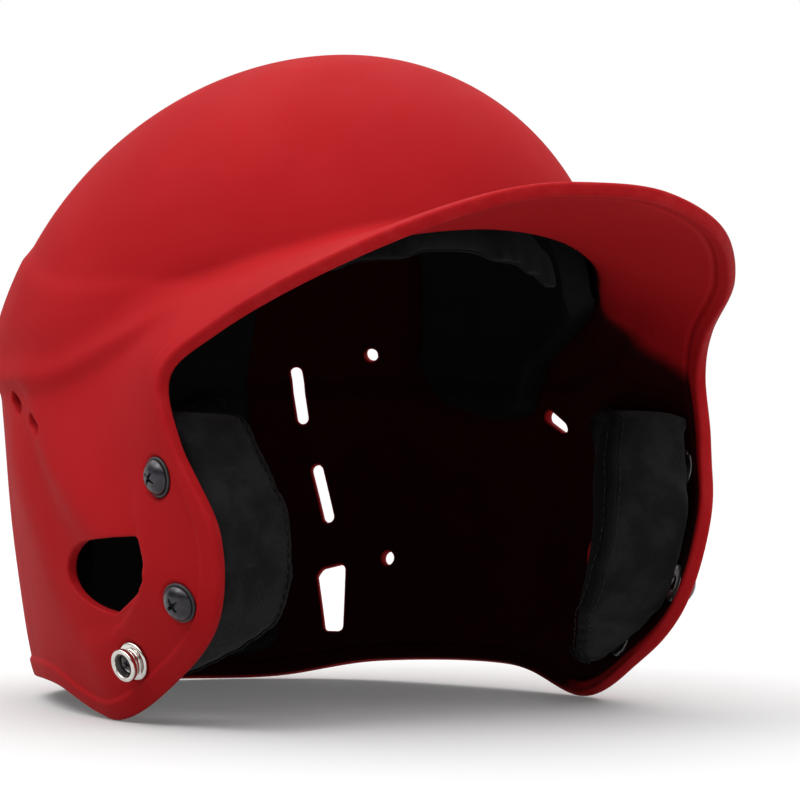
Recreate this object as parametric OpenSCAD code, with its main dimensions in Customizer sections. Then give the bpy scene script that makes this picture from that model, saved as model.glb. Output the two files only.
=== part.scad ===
// Batting helmet: one-piece shell with brim and two ear flaps, foam liner,
// fabric pads, face-guard screws and chin-strap studs.
// Millimetres. Wearer faces -Y, wearer's left is +X, +Z is up, Z = 0 is the table.

/* [Dome] */
// Half width of the dome at its widest ring
dome_half_width = 103; // [94:0.5:112]
// Half length of the dome, front to back
dome_half_length = 116.5; // [105:0.5:128]
// How far the centre of the widest ring sits behind the crown
dome_lean = 26; // [10:0.5:40]
// Height of the crown above the table
crown_height = 218; // [195:0.5:240]
// Height of the dome's widest ring above the table
ring_height = 106; // [96:0.5:118]
// How much narrower the dome is at the front than at the back, as a share of its width
dome_egg = 0.04; // [0:0.01:0.1]

/* [Brim and flaps] */
// Reach of the brim tip in front of the crown
brim_reach = 151; // [135:0.5:165]
// Height of the brim tip above the table
brim_height = 167.2; // [150:0.1:185]
// Half width of the face opening where brim and flap meet
temple_half_width = 102.7; // [92:0.1:112]
// Half width of the flap at its front edge
flap_half_width = 92.5; // [82:0.1:102]
// Reach of the flap's front edge in front of the crown
flap_reach = 79.5; // [65:0.5:95]
// Half width at the two flap tips the helmet stands on
tip_half_width = 89.3; // [78:0.1:100]
// Distance of the rear edge behind the crown
nape_reach = 128; // [115:0.5:140]

/* [Shell] */
// Wall thickness of the shell
shell_wall = 3.6; // [2.5:0.1:6]
// Depth of the step where the dome meets the side band
band_step = 1.2; // [0:0.1:4]
// Depth of the step under the side ridge
ridge_step = 3; // [0:0.1:5]
// Depth of the groove between step and ridge
groove_depth = 1.2; // [0:0.1:3]
// Width of the raised lip along the free edge
lip_width = 6.5; // [4:0.1:10]
// Height of the raised lip along the free edge
lip_rise = 0.9; // [0:0.1:2]
// Columns of facets round the shell
columns = 76; // [48:2:96]

/* [Openings] */
// Ear hole, front to back
ear_hole_length = 49; // [25:0.5:50]
// Ear hole, top to bottom
ear_hole_height = 25.4; // [20:0.1:35]
// Corner radius of the ear hole
ear_hole_corner = 3; // [2:0.5:10]
// Width of the two upright slots on each side of the back
slot_width = 4.4; // [4.2:0.1:8]
// Length of the upright slots
slot_length = 22; // [12:0.5:30]
// Width of the low port on each side of the back
port_width = 11; // [8:0.5:16]
// Height of the low port on each side of the back
port_height = 25; // [15:0.5:35]
// Length of the small vents under the side ridge
vent_length = 12; // [6:0.5:18]
// Width of the small vents under the side ridge
vent_width = 4.4; // [3:0.1:6]
// Diameter of the round vents at the back
round_vent = 5; // [4.2:0.1:9]

/* [Liner and pads] */
// Air gap between shell and foam
foam_gap = 1.2; // [0.8:0.1:3]
// Thickness of the foam liner
foam_depth = 11; // [6:0.5:18]
// Thickness of the brow pad
brow_depth = 8; // [4:0.5:14]
// Thickness of the crown pad
crown_depth = 6; // [4:0.5:12]
// Thickness of the rear pad
rear_depth = 8; // [4:0.5:14]
// Thickness of the ear pads at the cheek
ear_depth = 34.5; // [12:0.5:36]
// Least share of that thickness, over the ear
ear_thin = 0.22; // [0.15:0.01:0.6]
// Diameter of the ear well through each ear pad
ear_well = 52; // [50:0.5:54]

/* [Face-guard screws] */
// Diameter of the screw head
head_diameter = 11.2; // [9:0.1:14]
// Height of the screw head
head_height = 3.2; // [2:0.1:5]
// Diameter of the screw shank
shank_diameter = 5; // [4:0.1:6]
// Diameter of the rubber washer
washer_diameter = 12.8; // [11:0.1:16]
// Thickness of the rubber washer
washer_thickness = 1; // [0.5:0.1:2]
// Diameter of the nut barrel in the shell
barrel_diameter = 7; // [6:0.1:9]
// Diameter of the nut flange inside the shell
nut_flange = 13; // [10:0.5:18]
// Thickness of the nut flange
nut_flange_depth = 1.2; // [0.8:0.1:2]

/* [Chin-strap studs] */
// Diameter of the stud's snap head
stud_head = 10.7; // [8:0.1:13]
// Diameter of the stud's base flange
stud_flange = 12.6; // [11:0.1:16]
// Height of the stud above its seat
stud_height = 5.6; // [4:0.1:8]
// Diameter of the stud screw's shank
stud_shank = 3.8; // [3:0.1:5]

/* [Hidden] */
wall = shell_wall;
seat = 0.7;                       // flat seats are cut this far into the curved wall
fit_gap = 0.05;                   // radial running clearance of every shank and barrel
dome_rise = crown_height - ring_height;
foam_top = wall + foam_gap;       // depth of the foam's outer face
foam_low = foam_top + foam_depth; // depth of the foam's inner face
pad_top = foam_low + 1;           // depth of a pad's outer face on the foam
brim_half = temple_half_width - 22;
join_v = 0.5;                     // row where dome gives way to brim, flap or nape
crown_set = 2;                    // centre of the crown behind the origin
origin_shift = 3.6;               // puts the middle of the box on the origin, front to back
base_lift = 0.62;                 // puts the lowest edge on Z = 0

// Free edge, front middle to rear middle of the wearer's left side. Each row is:
// x, y, z of the edge | azimuth and height where it leaves the dome |
// heading of the surface at the edge | pull of the dome end and of the edge end
edge_rows = [
    [0, -brim_reach, brim_height, 0, 161, 0, -1, 0, 0.25, 0.8],
    [0.34*brim_half, 2 - brim_reach, brim_height - 2.1, 12, 160, 0.15, -1, -0.05, 0.25, 0.8],
    [0.7*brim_half, 13.5 - brim_reach, brim_height - 11.8, 25, 157, 0.45, -0.9, -0.25, 0.25, 0.8],
    [brim_half, 40.5 - brim_reach, brim_height - 27, 39, 151, 0.6, -0.8, -0.5, 0.25, 0.8],
    [temple_half_width - 8.6, 71 - brim_reach, brim_height - 42.6, 53, 144, 0.35, -0.9, -0.6, 0.3, 0.8],
    [temple_half_width, 15.5 - flap_reach, 110.2, 65, 138.5, 0, -1, -0.4, 0.35, 0.8],
    [temple_half_width - 1.7, 10.5 - flap_reach, 88.5, 75, 134, -0.3, -1, -0.1, 0.5, 0.8],
    [flap_half_width, -flap_reach, 61.6, 84, 131, -0.5, -0.9, -0.25, 0.75, 0.9],
    [flap_half_width - 4.7, 8.5 - flap_reach, 33.2, 92, 129, -0.6, -0.6, -0.5, 1, 0.95],
    [tip_half_width - 1.9, 35.5 - flap_reach, 13.5, 100, 128, -0.62, -0.25, -0.75, 0.78, 0.72],
    [tip_half_width, 70.6 - flap_reach, 0, 109, 127, -0.6, 0, -0.8, 0.7, 0.66],
    [tip_half_width - 0.3, nape_reach - 93, 7.8, 124, 120, -0.4, -0.1, -0.9, 0.42, 0.45],
    [0.54*nape_reach, nape_reach - 36, 6.3, 146, 118, -0.3, -0.4, -0.88, 0.6, 0.4],
    [0.306*nape_reach, nape_reach - 11, 0.3, 163, 117, -0.15, -0.45, -0.88, 0.65, 0.6],
    [0, nape_reach, 0, 180, 117, 0, -0.5, -0.87, 0.7, 0.6]];
last = len(edge_rows) - 1;        // station of the rear middle
round_trip = 2*last;              // stations all the way round

function unit(a) = a/norm(a);
function ease(x) = let(k = max(0, min(1, x))) k*k*(3 - 2*k);
function flip(a) = [-a[0], a[1], a[2]];

// ---- the dome, azimuth p from the front and angle t down from the crown ----
function dome(p, t) =
    [dome_half_width*sin(t)*sin(p)*(1 - dome_egg*cos(p)),
     crown_set + dome_lean*(1 - cos(t)) - dome_half_length*sin(t)*cos(p),
     ring_height + dome_rise*cos(t)];
function dome_angle(z) = acos(max(0, min(1, (z - ring_height)/dome_rise)));

// ---- edge rows at any station, by a smooth curve through them ----
mirror_sign = [-1, 1, 1, -1, 1, -1, 1, 1, 1, 1];
function signed(a) = [for (k = [0:9]) a[k]*mirror_sign[k]];
function row(i) = i < 0 ? signed(edge_rows[-i])
    : i > last ? signed(edge_rows[round_trip - i]) + [0, 0, 0, 360, 0, 0, 0, 0, 0, 0]
    : edge_rows[i];
function station(s) = let(
    i = min(floor(s), last - 1), f = s - i,
    a = row(i), b = row(i + 1), ma = (b - row(i - 1))/2, mb = (row(i + 2) - a)/2)
    a*(1 - 3*f*f + 2*f*f*f) + b*(3*f*f - 2*f*f*f) + ma*(f - 2*f*f + f*f*f) + mb*(f*f*f - f*f);

// ---- plain surface at station s (0..14) and row v (0 crown, 1 free edge) ----
function plain(s, v) = let(
    c = station(s), t = dome_angle(c[4]))
    v < join_v ? dome(c[3], t*v/join_v)
    : let(
        e = [c[0], c[1], c[2]], j = dome(c[3], t), span = norm(e - j),
        a = unit(dome(c[3], t + 0.5) - dome(c[3], t - 0.5))*span*c[8],
        b = unit([c[5], c[6], c[7]])*span*c[9], f = (v - join_v)/(1 - join_v))
        j*(1 - 3*f*f + 2*f*f*f) + e*(3*f*f - 2*f*f*f) + a*(f - 2*f*f + f*f*f) + b*(f*f*f - f*f);

// ---- sculpted lines on the side, by azimuth w seen from the middle of the head ----
function step_line(w) = 139 + 14*ease((w - 80)/50);
function ridge_line(w) = 138 - 31*ease((w - 30)/62);
function relief(a, v) = let(
    w = atan2(abs(a[0]), 20 - a[1]), z = a[2], up = z - step_line(w), down = ridge_line(w) - z)
    (1 - ease((v - 0.6)/0.38))*(
        band_step*ease((w - 25)/25)*(1 - ease((up + 3)/6))
        - ridge_step*ease((w - 45)/20)*ease((down + 3)/6)*(1 - ease(down/60))
        - groove_depth*ease((w - 35)/20)*exp(-pow((down + 10)/6, 2)));
function lip(s, v) = v < 0.75 ? 0
    : let(c = station(s), d = norm(plain(s, v) - [c[0], c[1], c[2]]))
    lip_rise*(1 - ease((d - lip_width)/2));

function outward(s, v) = let(h = 0.02, k = min(v, 0.999))
    v < 0.01 ? [0, 0, 1]
    : unit(cross(plain(s, k + 0.001) - plain(s, k - 0.004), plain(s + h, k) - plain(s - h, k)));
function skin_half(s, v, depth) = let(a = plain(s, v))
    a + outward(s, v)*(relief(a, v) + lip(s, v) - depth);
function wrap(s) = s < 0 ? s + round_trip : s >= round_trip ? s - round_trip : s;
// point at a depth below the shell's outer face; station runs right round the helmet
function skin(s, v, depth = 0) = let(q = wrap(s))
    q <= last ? skin_half(q, v, depth) : flip(skin_half(round_trip - q, v, depth));
function facing(s, v) = let(q = wrap(s))
    q <= last ? outward(q, v) : flip(outward(round_trip - q, v));

// ---- solids on the surface ----
// rings of n points each, closed by a point at both ends
module ringed(first, rings, end) {
    n = len(rings[0]); m = len(rings);
    polyhedron(
        points = concat([first], [for (r = rings) each r], [end]),
        faces = concat(
            [for (i = [0:n-1]) [0, 1 + (i + 1)%n, 1 + i]],
            [for (k = [0:m-2], i = [0:n-1]) let(a = 1 + k*n, j = (i + 1)%n)
                each [[a + i, a + n + j, a + n + i], [a + i, a + j, a + n + j]]],
            [for (i = [0:n-1]) let(a = 1 + (m - 1)*n) [a + i, a + (i + 1)%n, 1 + m*n]]),
        convexity = 10);
}
// block between two depths over a patch of the surface; corners are drawn in by soft,
// the inner face thins to rim_share of the depth at its border, and the low edge drops
// behind the ear
module patch(s_mid, s_half, v_mid, v_half, top, low, na, nb, soft = 0.08, rim_share = 1, drop = 0) {
    function at(i, j, inner) = let(
        a = 2*i/na - 1, b = 2*j/nb - 1,
        swell = rim_share + (1 - rim_share)*sqrt(max(0, 1 - pow(a, 4)))*sqrt(max(0, 1 - pow(b, 4))),
        s = s_mid + s_half*a*(1 - soft*pow(b, 6)),
        v = v_mid + v_half*b*(1 - soft*pow(a, 6)) + drop*ease((s - 7.6)/1.6)*(1 + b)/2)
        skin(s, v, inner ? top + (low - top)*swell : top);
    w = nb + 1; q = (na + 1)*w;
    border = concat([for (j = [0:nb-1]) j], [for (i = [0:na-1]) i*w + nb],
        [for (j = [nb:-1:1]) na*w + j], [for (i = [na:-1:1]) i*w]);
    polyhedron(
        points = [for (inner = [false, true], i = [0:na], j = [0:nb]) at(i, j, inner)],
        faces = concat(
            [for (i = [0:na-1], j = [0:nb-1]) let(k = i*w + j)
                each [[k, k + w + 1, k + 1], [k, k + w, k + w + 1]]],
            [for (i = [0:na-1], j = [0:nb-1]) let(k = q + i*w + j)
                each [[k, k + 1, k + w + 1], [k, k + w + 1, k + w]]],
            [for (i = [0:len(border)-1]) let(a = border[i], b = border[(i + 1)%len(border)])
                each [[a, b + q, a + q], [a, b, b + q]]]),
        convexity = 6);
}
// smooth open curve through rows of numbers, at t from 0 to 1
function along(rows, t) = let(n = len(rows) - 1, i = min(floor(t*n), n - 1), f = t*n - i,
    a = rows[i], b = rows[i + 1], ma = (b - rows[max(i - 1, 0)])/2, mb = (rows[min(i + 2, n)] - a)/2)
    a*(1 - 3*f*f + 2*f*f*f) + b*(3*f*f - 2*f*f*f) + ma*(f - 2*f*f + f*f*f) + mb*(f*f*f - f*f);
// open cushion bent round a clear well; its outline rows are station, row and how full the
// wall stands there, and it thins from the face towards the ear
module arc_pad(outline, centre, well_r, top, depth, n, m) {
    h = 0.01;
    es = (skin(centre[0] + h, centre[1]) - skin(centre[0] - h, centre[1]))/(2*h);
    ev = (skin(centre[0], centre[1] + h) - skin(centre[0], centre[1] - h))/(2*h);
    function at(t, f, inner) = let(
        row = along(outline, t), edge = [row[0], row[1]], u = edge - centre,
        hole = centre + u*well_r/norm(es*u[0] + ev*u[1]), q = hole + (edge - hole)*f,
        k = 0.35 + 0.6*f*row[2], swell = k + (1 - k)*sqrt(max(0, 1 - pow(abs(2*f - 1), 3))),
        ends = 0.45 + 0.55*sqrt(max(0, 1 - pow(abs(2*t - 1), 8))), p = skin(q[0], q[1], top),
        thin = max(ear_thin, min(1, (-1.6 - p[1])/58)))
        p + (inner ? unit([-1, 0.14, 0])*depth*swell*ends*thin : [0, 0, 0]);
    loop = concat([for (k = [0:m]) [k/m, false]], [for (k = [m:-1:0]) [k/m, true]]);
    w = len(loop);
    polyhedron(
        points = [for (i = [0:n], r = loop) at(i/n, r[0], r[1])],
        faces = concat(
            [for (i = [0:n-1], k = [0:w-1]) let(a = i*w + k, b = i*w + (k + 1)%w)
                each [[a, b, b + w], [a, b + w, a + w]]],
            [for (k = [0:m-1]) let(a = k, b = w - 1 - k, z = n*w)
                each [[a, b, b - 1], [a, b - 1, a + 1],
                    [a + z, b - 1 + z, b + z], [a + z, a + 1 + z, b - 1 + z]]]),
        convexity = 6);
}
// band along the inside of the dome's front between two depths; its lower edge drops
// towards the ends and its inner face thins at the border
module brow_band(half, low_edge, drop, rise, top, thick, na, nb) {
    function inside(p, z, depth) = let(
        t = dome_angle(z), o = dome(p, t),
        n = unit(cross(dome(p, t + 0.5) - dome(p, t - 0.5), dome(p + 0.5, t) - dome(p - 0.5, t))))
        o - n*depth;
    function at(i, j, inner) = let(
        a = 2*i/na - 1, b = 2*j/nb - 1, p = half*a*(1 - 0.08*pow(b, 6)),
        z = low_edge - drop*a*a + rise*(0.5 + 0.5*b*(1 - 0.3*pow(a, 8))),
        swell = 0.45 + 0.55*sqrt(max(0, 1 - pow(a, 6)))*sqrt(max(0, 1 - pow(b, 4))))
        inside(p, z, inner ? top + thick*swell : top);
    w = nb + 1; q = (na + 1)*w;
    border = concat([for (j = [0:nb-1]) j], [for (i = [0:na-1]) i*w + nb],
        [for (j = [nb:-1:1]) na*w + j], [for (i = [na:-1:1]) i*w]);
    polyhedron(
        points = [for (inner = [false, true], i = [0:na], j = [0:nb]) at(i, j, inner)],
        faces = concat(
            [for (i = [0:na-1], j = [0:nb-1]) let(k = i*w + j)
                each [[k, k + w + 1, k + w], [k, k + 1, k + w + 1]]],
            [for (i = [0:na-1], j = [0:nb-1]) let(k = q + i*w + j)
                each [[k, k + w + 1, k + 1], [k, k + w, k + w + 1]]],
            [for (i = [0:len(border)-1]) let(a = border[i], b = border[(i + 1)%len(border)])
                each [[a, a + q, b + q], [a, b + q, b]]]),
        convexity = 6);
}
// domed disc round the crown between two depths
module cap(v_end, top, low, rows, n) {
    ringed(skin(0, 0, top),
        concat(
            [for (k = [1:rows]) [for (i = [0:n-1]) skin(round_trip*i/n, v_end*k/rows, top)]],
            [for (k = [rows:-1:1]) [for (i = [0:n-1]) skin(round_trip*i/n, v_end*k/rows, low)]]),
        skin(0, 0, low));
}
// put children on the surface, local Z outward, local Y up
module on_skin(s, v) {
    p = skin(s, v); n = facing(s, v); x = unit(cross([0, 0, 1], n)); y = cross(n, x);
    multmatrix([[x[0], y[0], n[0], p[0]], [x[1], y[1], n[1], p[1]], [x[2], y[2], n[2], p[2]]])
        children();
}
module both(s, v) {
    on_skin(s, v) children();
    on_skin(round_trip - s, v) mirror([1, 0, 0]) children();
}
module tube(outer, inner, from, to)
    difference() {
        translate([0, 0, from]) cylinder(d = outer, h = to - from, $fn = 48);
        translate([0, 0, from - 1]) cylinder(d = inner, h = to - from + 2, $fn = 48);
    }
module slot(length, width, depth = 14) {
    e = (length - width)/2;
    for (k = [-1, 1])
        translate([0, k*e, -depth/2]) cylinder(d = width, h = depth, $fn = 32);
    translate([-width/2, -e, -depth/2]) cube([width, 2*e, depth]);
}

// ---- places on the surface: station and row ----
guard_upper = [6.6, 0.9];
guard_lower = [8, 0.95];
stud_place = [9.25, 0.938];
ear_place = [8.76, 0.845];
slot_upper = [12.18, 0.577];
slot_lower = [12.14, 0.72];
port_place = [12.3, 0.862];
vent_rear = [9.42, 0.612];
vent_front = [8.52, 0.643];
round_upper = [11.48, 0.498];
round_lower = [11.73, 0.81];

// ---- shell ----
shell_rows = concat([for (k = [1:9]) k/9*join_v], [for (k = [1:10]) join_v + 0.46*k/10]);
module shell_blank() {
    m = columns;
    outer = [for (v = shell_rows) [for (i = [0:m-1]) skin(round_trip*i/m, v)]];
    brink = [for (g = [0.975, 1]) [for (i = [0:m-1]) skin(round_trip*i/m, g)]];
    inner_brink = [for (g = [1, 0.975]) [for (i = [0:m-1]) skin(round_trip*i/m, g, wall + lip_rise)]];
    inner = [for (k = [len(shell_rows)-1:-1:0])
        [for (i = [0:m-1]) skin(round_trip*i/m, shell_rows[k], wall)]];
    ringed(skin(0, 0), concat(outer, brink, inner_brink, inner), skin(0, 0, wall));
}
module ear_opening()
    linear_extrude(height = 24, center = true)
        offset(r = ear_hole_corner)
            let(l = ear_hole_length/2 - ear_hole_corner, h = ear_hole_height/2 - ear_hole_corner)
            polygon([[-0.96*l, h], [-l, 0.6*h], [-l, 0.05*h], [-0.85*l, -0.25*h], [-0.05*l, -h],
                [0.33*l, -0.83*h], [0.68*l, -0.55*h], [0.93*l, -0.2*h], [l, 0.16*h],
                [0.9*l, 0.5*h], [0.55*l, 0.76*h], [0, 0.94*h], [-0.45*l, h]]);
module port_opening()
    linear_extrude(height = 16, center = true)
        offset(r = 2)
            let(w = port_width - 4, h = port_height/2 - 2)
            polygon([[-0.4*w, -h], [0.1*w, -h], [0.6*w, 0.72*h], [0.45*w, 0.86*h], [-0.4*w, h]]);
module guard_bore() {
    translate([0, 0, -12]) cylinder(d = barrel_diameter + 2*fit_gap, h = 24, $fn = 48);
    translate([0, 0, -seat]) cylinder(d = washer_diameter + 1.2, h = 8, $fn = 48);
    translate([0, 0, -wall + seat - 8]) cylinder(d = nut_flange + 1.2, h = 8, $fn = 48);
}
module stud_bore() {
    translate([0, 0, -12]) cylinder(d = stud_shank + 2.4 + 2*fit_gap, h = 24, $fn = 48);
    translate([0, 0, -seat]) cylinder(d = stud_flange + 1.2, h = 8, $fn = 48);
    translate([0, 0, -wall + seat - 8]) cylinder(d = nut_flange + 1.2, h = 8, $fn = 48);
}
module shell() color([0.62, 0.06, 0.08])
    difference() {
        shell_blank();
        both(guard_upper[0], guard_upper[1]) guard_bore();
        both(guard_lower[0], guard_lower[1]) guard_bore();
        both(stud_place[0], stud_place[1]) stud_bore();
        both(ear_place[0], ear_place[1]) ear_opening();
        both(slot_upper[0], slot_upper[1]) rotate(-9) slot(slot_length, slot_width);
        both(slot_lower[0], slot_lower[1]) rotate(-15) slot(slot_length, slot_width);
        both(port_place[0], port_place[1]) port_opening();
        both(vent_rear[0], vent_rear[1]) rotate(-62) slot(vent_length, vent_width);
        both(vent_front[0], vent_front[1]) rotate(-62) slot(vent_length, vent_width);
        for (p = [round_upper, round_lower])
            both(p[0], p[1]) translate([0, 0, -7]) cylinder(d = round_vent, h = 14, $fn = 32);
    }

// ---- foam liner ----
foam_color = [0.07, 0.07, 0.08];
module crown_foam() color(foam_color) cap(0.2, foam_top, foam_low, 4, 36);
module front_foam() color(foam_color) patch(0, 3.6, 0.34, 0.115, foam_top, foam_low, 14, 6);
module left_foam() color(foam_color) 
    patch(7.6, 3.2, 0.39, 0.165, foam_top + 0.9, foam_low, 12, 10, drop = 0.08);
module right_foam() mirror([1, 0, 0]) left_foam();
module rear_foam() color(foam_color) patch(last, 1.15, 0.6, 0.36, foam_top, foam_low, 8, 16);

// ---- fabric pads ----
pad_color = [0.16, 0.16, 0.17];
module brow_pad() color(pad_color)
    brow_band(54, 151.5, 17, 28, pad_top, brow_depth, 18, 6);
module crown_pad() color(pad_color) cap(0.12, pad_top, pad_top + crown_depth, 3, 30);
module rear_pad() color(pad_color)
    patch(last, 1, 0.66, 0.12, pad_top + 0.6, pad_top + 0.6 + rear_depth, 10, 8, 0.12, 0.45);
ear_outline = [[10.3, 0.925, 0.3], [10, 0.955, 0.5], [9.5, 0.972, 0.7], [9, 0.98, 0.8],
    [8.5, 0.984, 0.85], [8, 0.985, 0.9], [7.5, 0.985, 0.97], [7, 0.985, 1], [6.5, 0.985, 1],
    [6, 0.985, 0.95], [5.55, 0.985, 0.85], [5.66, 0.93, 0.85], [5.86, 0.85, 0.85],
    [6.2, 0.775, 0.75], [6.6, 0.71, 0.6], [7, 0.69, 0.3], [7.45, 0.69, 0]];
module left_ear_pad() color(pad_color)
    arc_pad(ear_outline, ear_place, ear_well/2, wall + 1.2, ear_depth, 60, 6);
module right_ear_pad() mirror([1, 0, 0]) left_ear_pad();

// ---- face-guard fasteners, local Z = 0 at the shell's outer face ----
seat_z = -seat;
inner_z = -wall + seat;                       // inner seat of the wall
head_z = seat_z + washer_thickness + 0.02;
module guard_screw_shape() color([0.05, 0.05, 0.055])
    difference() {
        union() {
            translate([0, 0, head_z]) rotate_extrude($fn = 48)
                polygon(concat([[0, 0], [head_diameter/2, 0]],
                    [for (a = [0:15:90]) [head_diameter/2*(1 - pow(sin(a), 2.2)*0.999),
                        0.3*head_height + 0.7*head_height*sin(a)]]));
            translate([0, 0, inner_z - 1.3]) cylinder(d = shank_diameter, h = head_z - inner_z + 1.4, $fn = 48);
        }
        translate([0, 0, head_z + head_height + 0.6]) for (a = [45, 135])
            rotate(a) cube([5.4, 1.2, 3.6], center = true);
    }
module guard_washer_shape() color([0.1, 0.1, 0.1])
    tube(washer_diameter, shank_diameter + 0.3, seat_z + 0.02, seat_z + washer_thickness);
module guard_nut_shape() color([0.55, 0.55, 0.56])
    difference() {
        union() {
            translate([0, 0, inner_z - 0.02 - nut_flange_depth])
                cylinder(d = nut_flange, h = nut_flange_depth, $fn = 48);
            translate([0, 0, inner_z - 0.5])
                cylinder(d = barrel_diameter, h = seat_z - inner_z + 0.3, $fn = 48);
        }
        translate([0, 0, -12]) cylinder(d = shank_diameter + 2*fit_gap, h = 20, $fn = 48);
    }
module place(p, left) {
    if (left) on_skin(p[0], p[1]) children();
    else mirror([1, 0, 0]) on_skin(p[0], p[1]) children();
}
module left_upper_guard_screw() place(guard_upper, true) guard_screw_shape();
module left_lower_guard_screw() place(guard_lower, true) guard_screw_shape();
module right_upper_guard_screw() place(guard_upper, false) guard_screw_shape();
module right_lower_guard_screw() place(guard_lower, false) guard_screw_shape();
module left_upper_washer() place(guard_upper, true) guard_washer_shape();
module left_lower_washer() place(guard_lower, true) guard_washer_shape();
module right_upper_washer() place(guard_upper, false) guard_washer_shape();
module right_lower_washer() place(guard_lower, false) guard_washer_shape();
module left_upper_nut() place(guard_upper, true) guard_nut_shape();
module left_lower_nut() place(guard_lower, true) guard_nut_shape();
module right_upper_nut() place(guard_upper, false) guard_nut_shape();
module right_lower_nut() place(guard_lower, false) guard_nut_shape();

// ---- chin-strap studs ----
stud_z = seat_z + 0.02;
stud_floor = stud_z + 2;
module stud_shape() color([0.75, 0.75, 0.73])
    difference() {
        translate([0, 0, stud_z]) rotate_extrude($fn = 48)
            polygon([[stud_shank/2 + fit_gap, 0], [stud_flange/2 - 0.4, 0], [stud_flange/2, 0.4],
                [stud_flange/2, 1], [stud_flange/2 - 0.5, 1.4], [stud_head/2 - 1, 1.6],
                [stud_head/2 - 1, stud_height - 2.2], [stud_head/2, stud_height - 2],
                [stud_head/2, stud_height - 0.3], [stud_head/2 - 0.3, stud_height],
                [stud_head/2 - 1.2, stud_height], [stud_head/2 - 1.5, stud_height - 0.4],
                [stud_head/2 - 1.5, 2], [stud_shank/2 + fit_gap, 2]]);
    }
module stud_screw_shape() color([0.06, 0.06, 0.065])
    difference() {
        union() {
            translate([0, 0, stud_floor + 0.02]) cylinder(d1 = 6.6, d2 = 5.4, h = 1.8, $fn = 40);
            translate([0, 0, inner_z - 1.3])
                cylinder(d = stud_shank, h = stud_floor - inner_z + 1.4, $fn = 40);
        }
        translate([0, 0, stud_floor + 1.9]) for (a = [20, 110])
            rotate(a) cube([3.6, 0.9, 1.8], center = true);
    }
module stud_nut_shape() color([0.55, 0.55, 0.56])
    difference() {
        union() {
            translate([0, 0, inner_z - 0.02 - nut_flange_depth])
                cylinder(d = nut_flange, h = nut_flange_depth, $fn = 40);
            translate([0, 0, inner_z - 0.5])
                cylinder(d = stud_shank + 2.4, h = seat_z - inner_z + 0.3, $fn = 40);
        }
        translate([0, 0, -12]) cylinder(d = stud_shank + 2*fit_gap, h = 20, $fn = 40);
    }
module left_stud() place(stud_place, true) stud_shape();
module right_stud() place(stud_place, false) stud_shape();
module left_stud_screw() place(stud_place, true) stud_screw_shape();
module right_stud_screw() place(stud_place, false) stud_screw_shape();
module left_stud_nut() place(stud_place, true) stud_nut_shape();
module right_stud_nut() place(stud_place, false) stud_nut_shape();

translate([0, origin_shift, base_lift]) {
    shell();
    crown_foam();
    front_foam();
    left_foam();
    right_foam();
    rear_foam();
    brow_pad();
    crown_pad();
    rear_pad();
    left_ear_pad();
    right_ear_pad();
    left_upper_guard_screw();
    left_lower_guard_screw();
    right_upper_guard_screw();
    right_lower_guard_screw();
    left_upper_washer();
    left_lower_washer();
    right_upper_washer();
    right_lower_washer();
    left_upper_nut();
    left_lower_nut();
    right_upper_nut();
    right_lower_nut();
    left_stud();
    right_stud();
    left_stud_screw();
    right_stud_screw();
    left_stud_nut();
    right_stud_nut();
}
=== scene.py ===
"""Batting helmet: the looks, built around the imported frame.

Lengths below are in millimetres and are scaled to metres when a mesh is made.
The wearer faces -Y, the wearer's left is +X and +Z is up.
"""

import math

import bmesh
import bpy
import numpy as np
from mathutils import Matrix, Vector
from mathutils.bvhtree import BVHTree


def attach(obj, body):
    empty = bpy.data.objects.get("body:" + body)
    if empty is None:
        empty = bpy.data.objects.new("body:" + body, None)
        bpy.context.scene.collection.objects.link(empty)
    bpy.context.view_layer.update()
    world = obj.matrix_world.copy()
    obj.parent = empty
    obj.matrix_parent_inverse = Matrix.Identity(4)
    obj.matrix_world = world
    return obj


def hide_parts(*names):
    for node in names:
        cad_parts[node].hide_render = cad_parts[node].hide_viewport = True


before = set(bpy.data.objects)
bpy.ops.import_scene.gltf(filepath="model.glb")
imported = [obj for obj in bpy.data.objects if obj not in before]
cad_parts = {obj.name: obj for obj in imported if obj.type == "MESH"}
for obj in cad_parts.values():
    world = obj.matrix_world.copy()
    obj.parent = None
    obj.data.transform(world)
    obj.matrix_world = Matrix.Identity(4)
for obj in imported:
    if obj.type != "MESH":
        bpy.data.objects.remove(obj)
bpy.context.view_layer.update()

MM = 0.001
SHIFT = np.array([0.0, 3.6, 0.62])  # from the form's own origin to the row's origin

# ------------------------------------------------------------------ the form
DOME_HALF_WIDTH, DOME_HALF_LENGTH = 103.0, 116.5
DOME_LEAN, DOME_EGG, CROWN_SET = 26.0, 0.04, 2.0
CROWN_HEIGHT, RING_HEIGHT = 218.0, 106.0
WALL = 3.6
BRIM_REACH, BRIM_HEIGHT = 151.0, 167.2
TEMPLE, FLAP, FLAP_REACH, TIP, NAPE = 102.7, 92.5, 79.5, 89.3, 128.0
BRIM_HALF = TEMPLE - 22.0
JOIN = 0.5  # row where the dome gives way to brim, flap or nape
SEAT = 0.7  # depth of the flat seats under the fasteners

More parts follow.
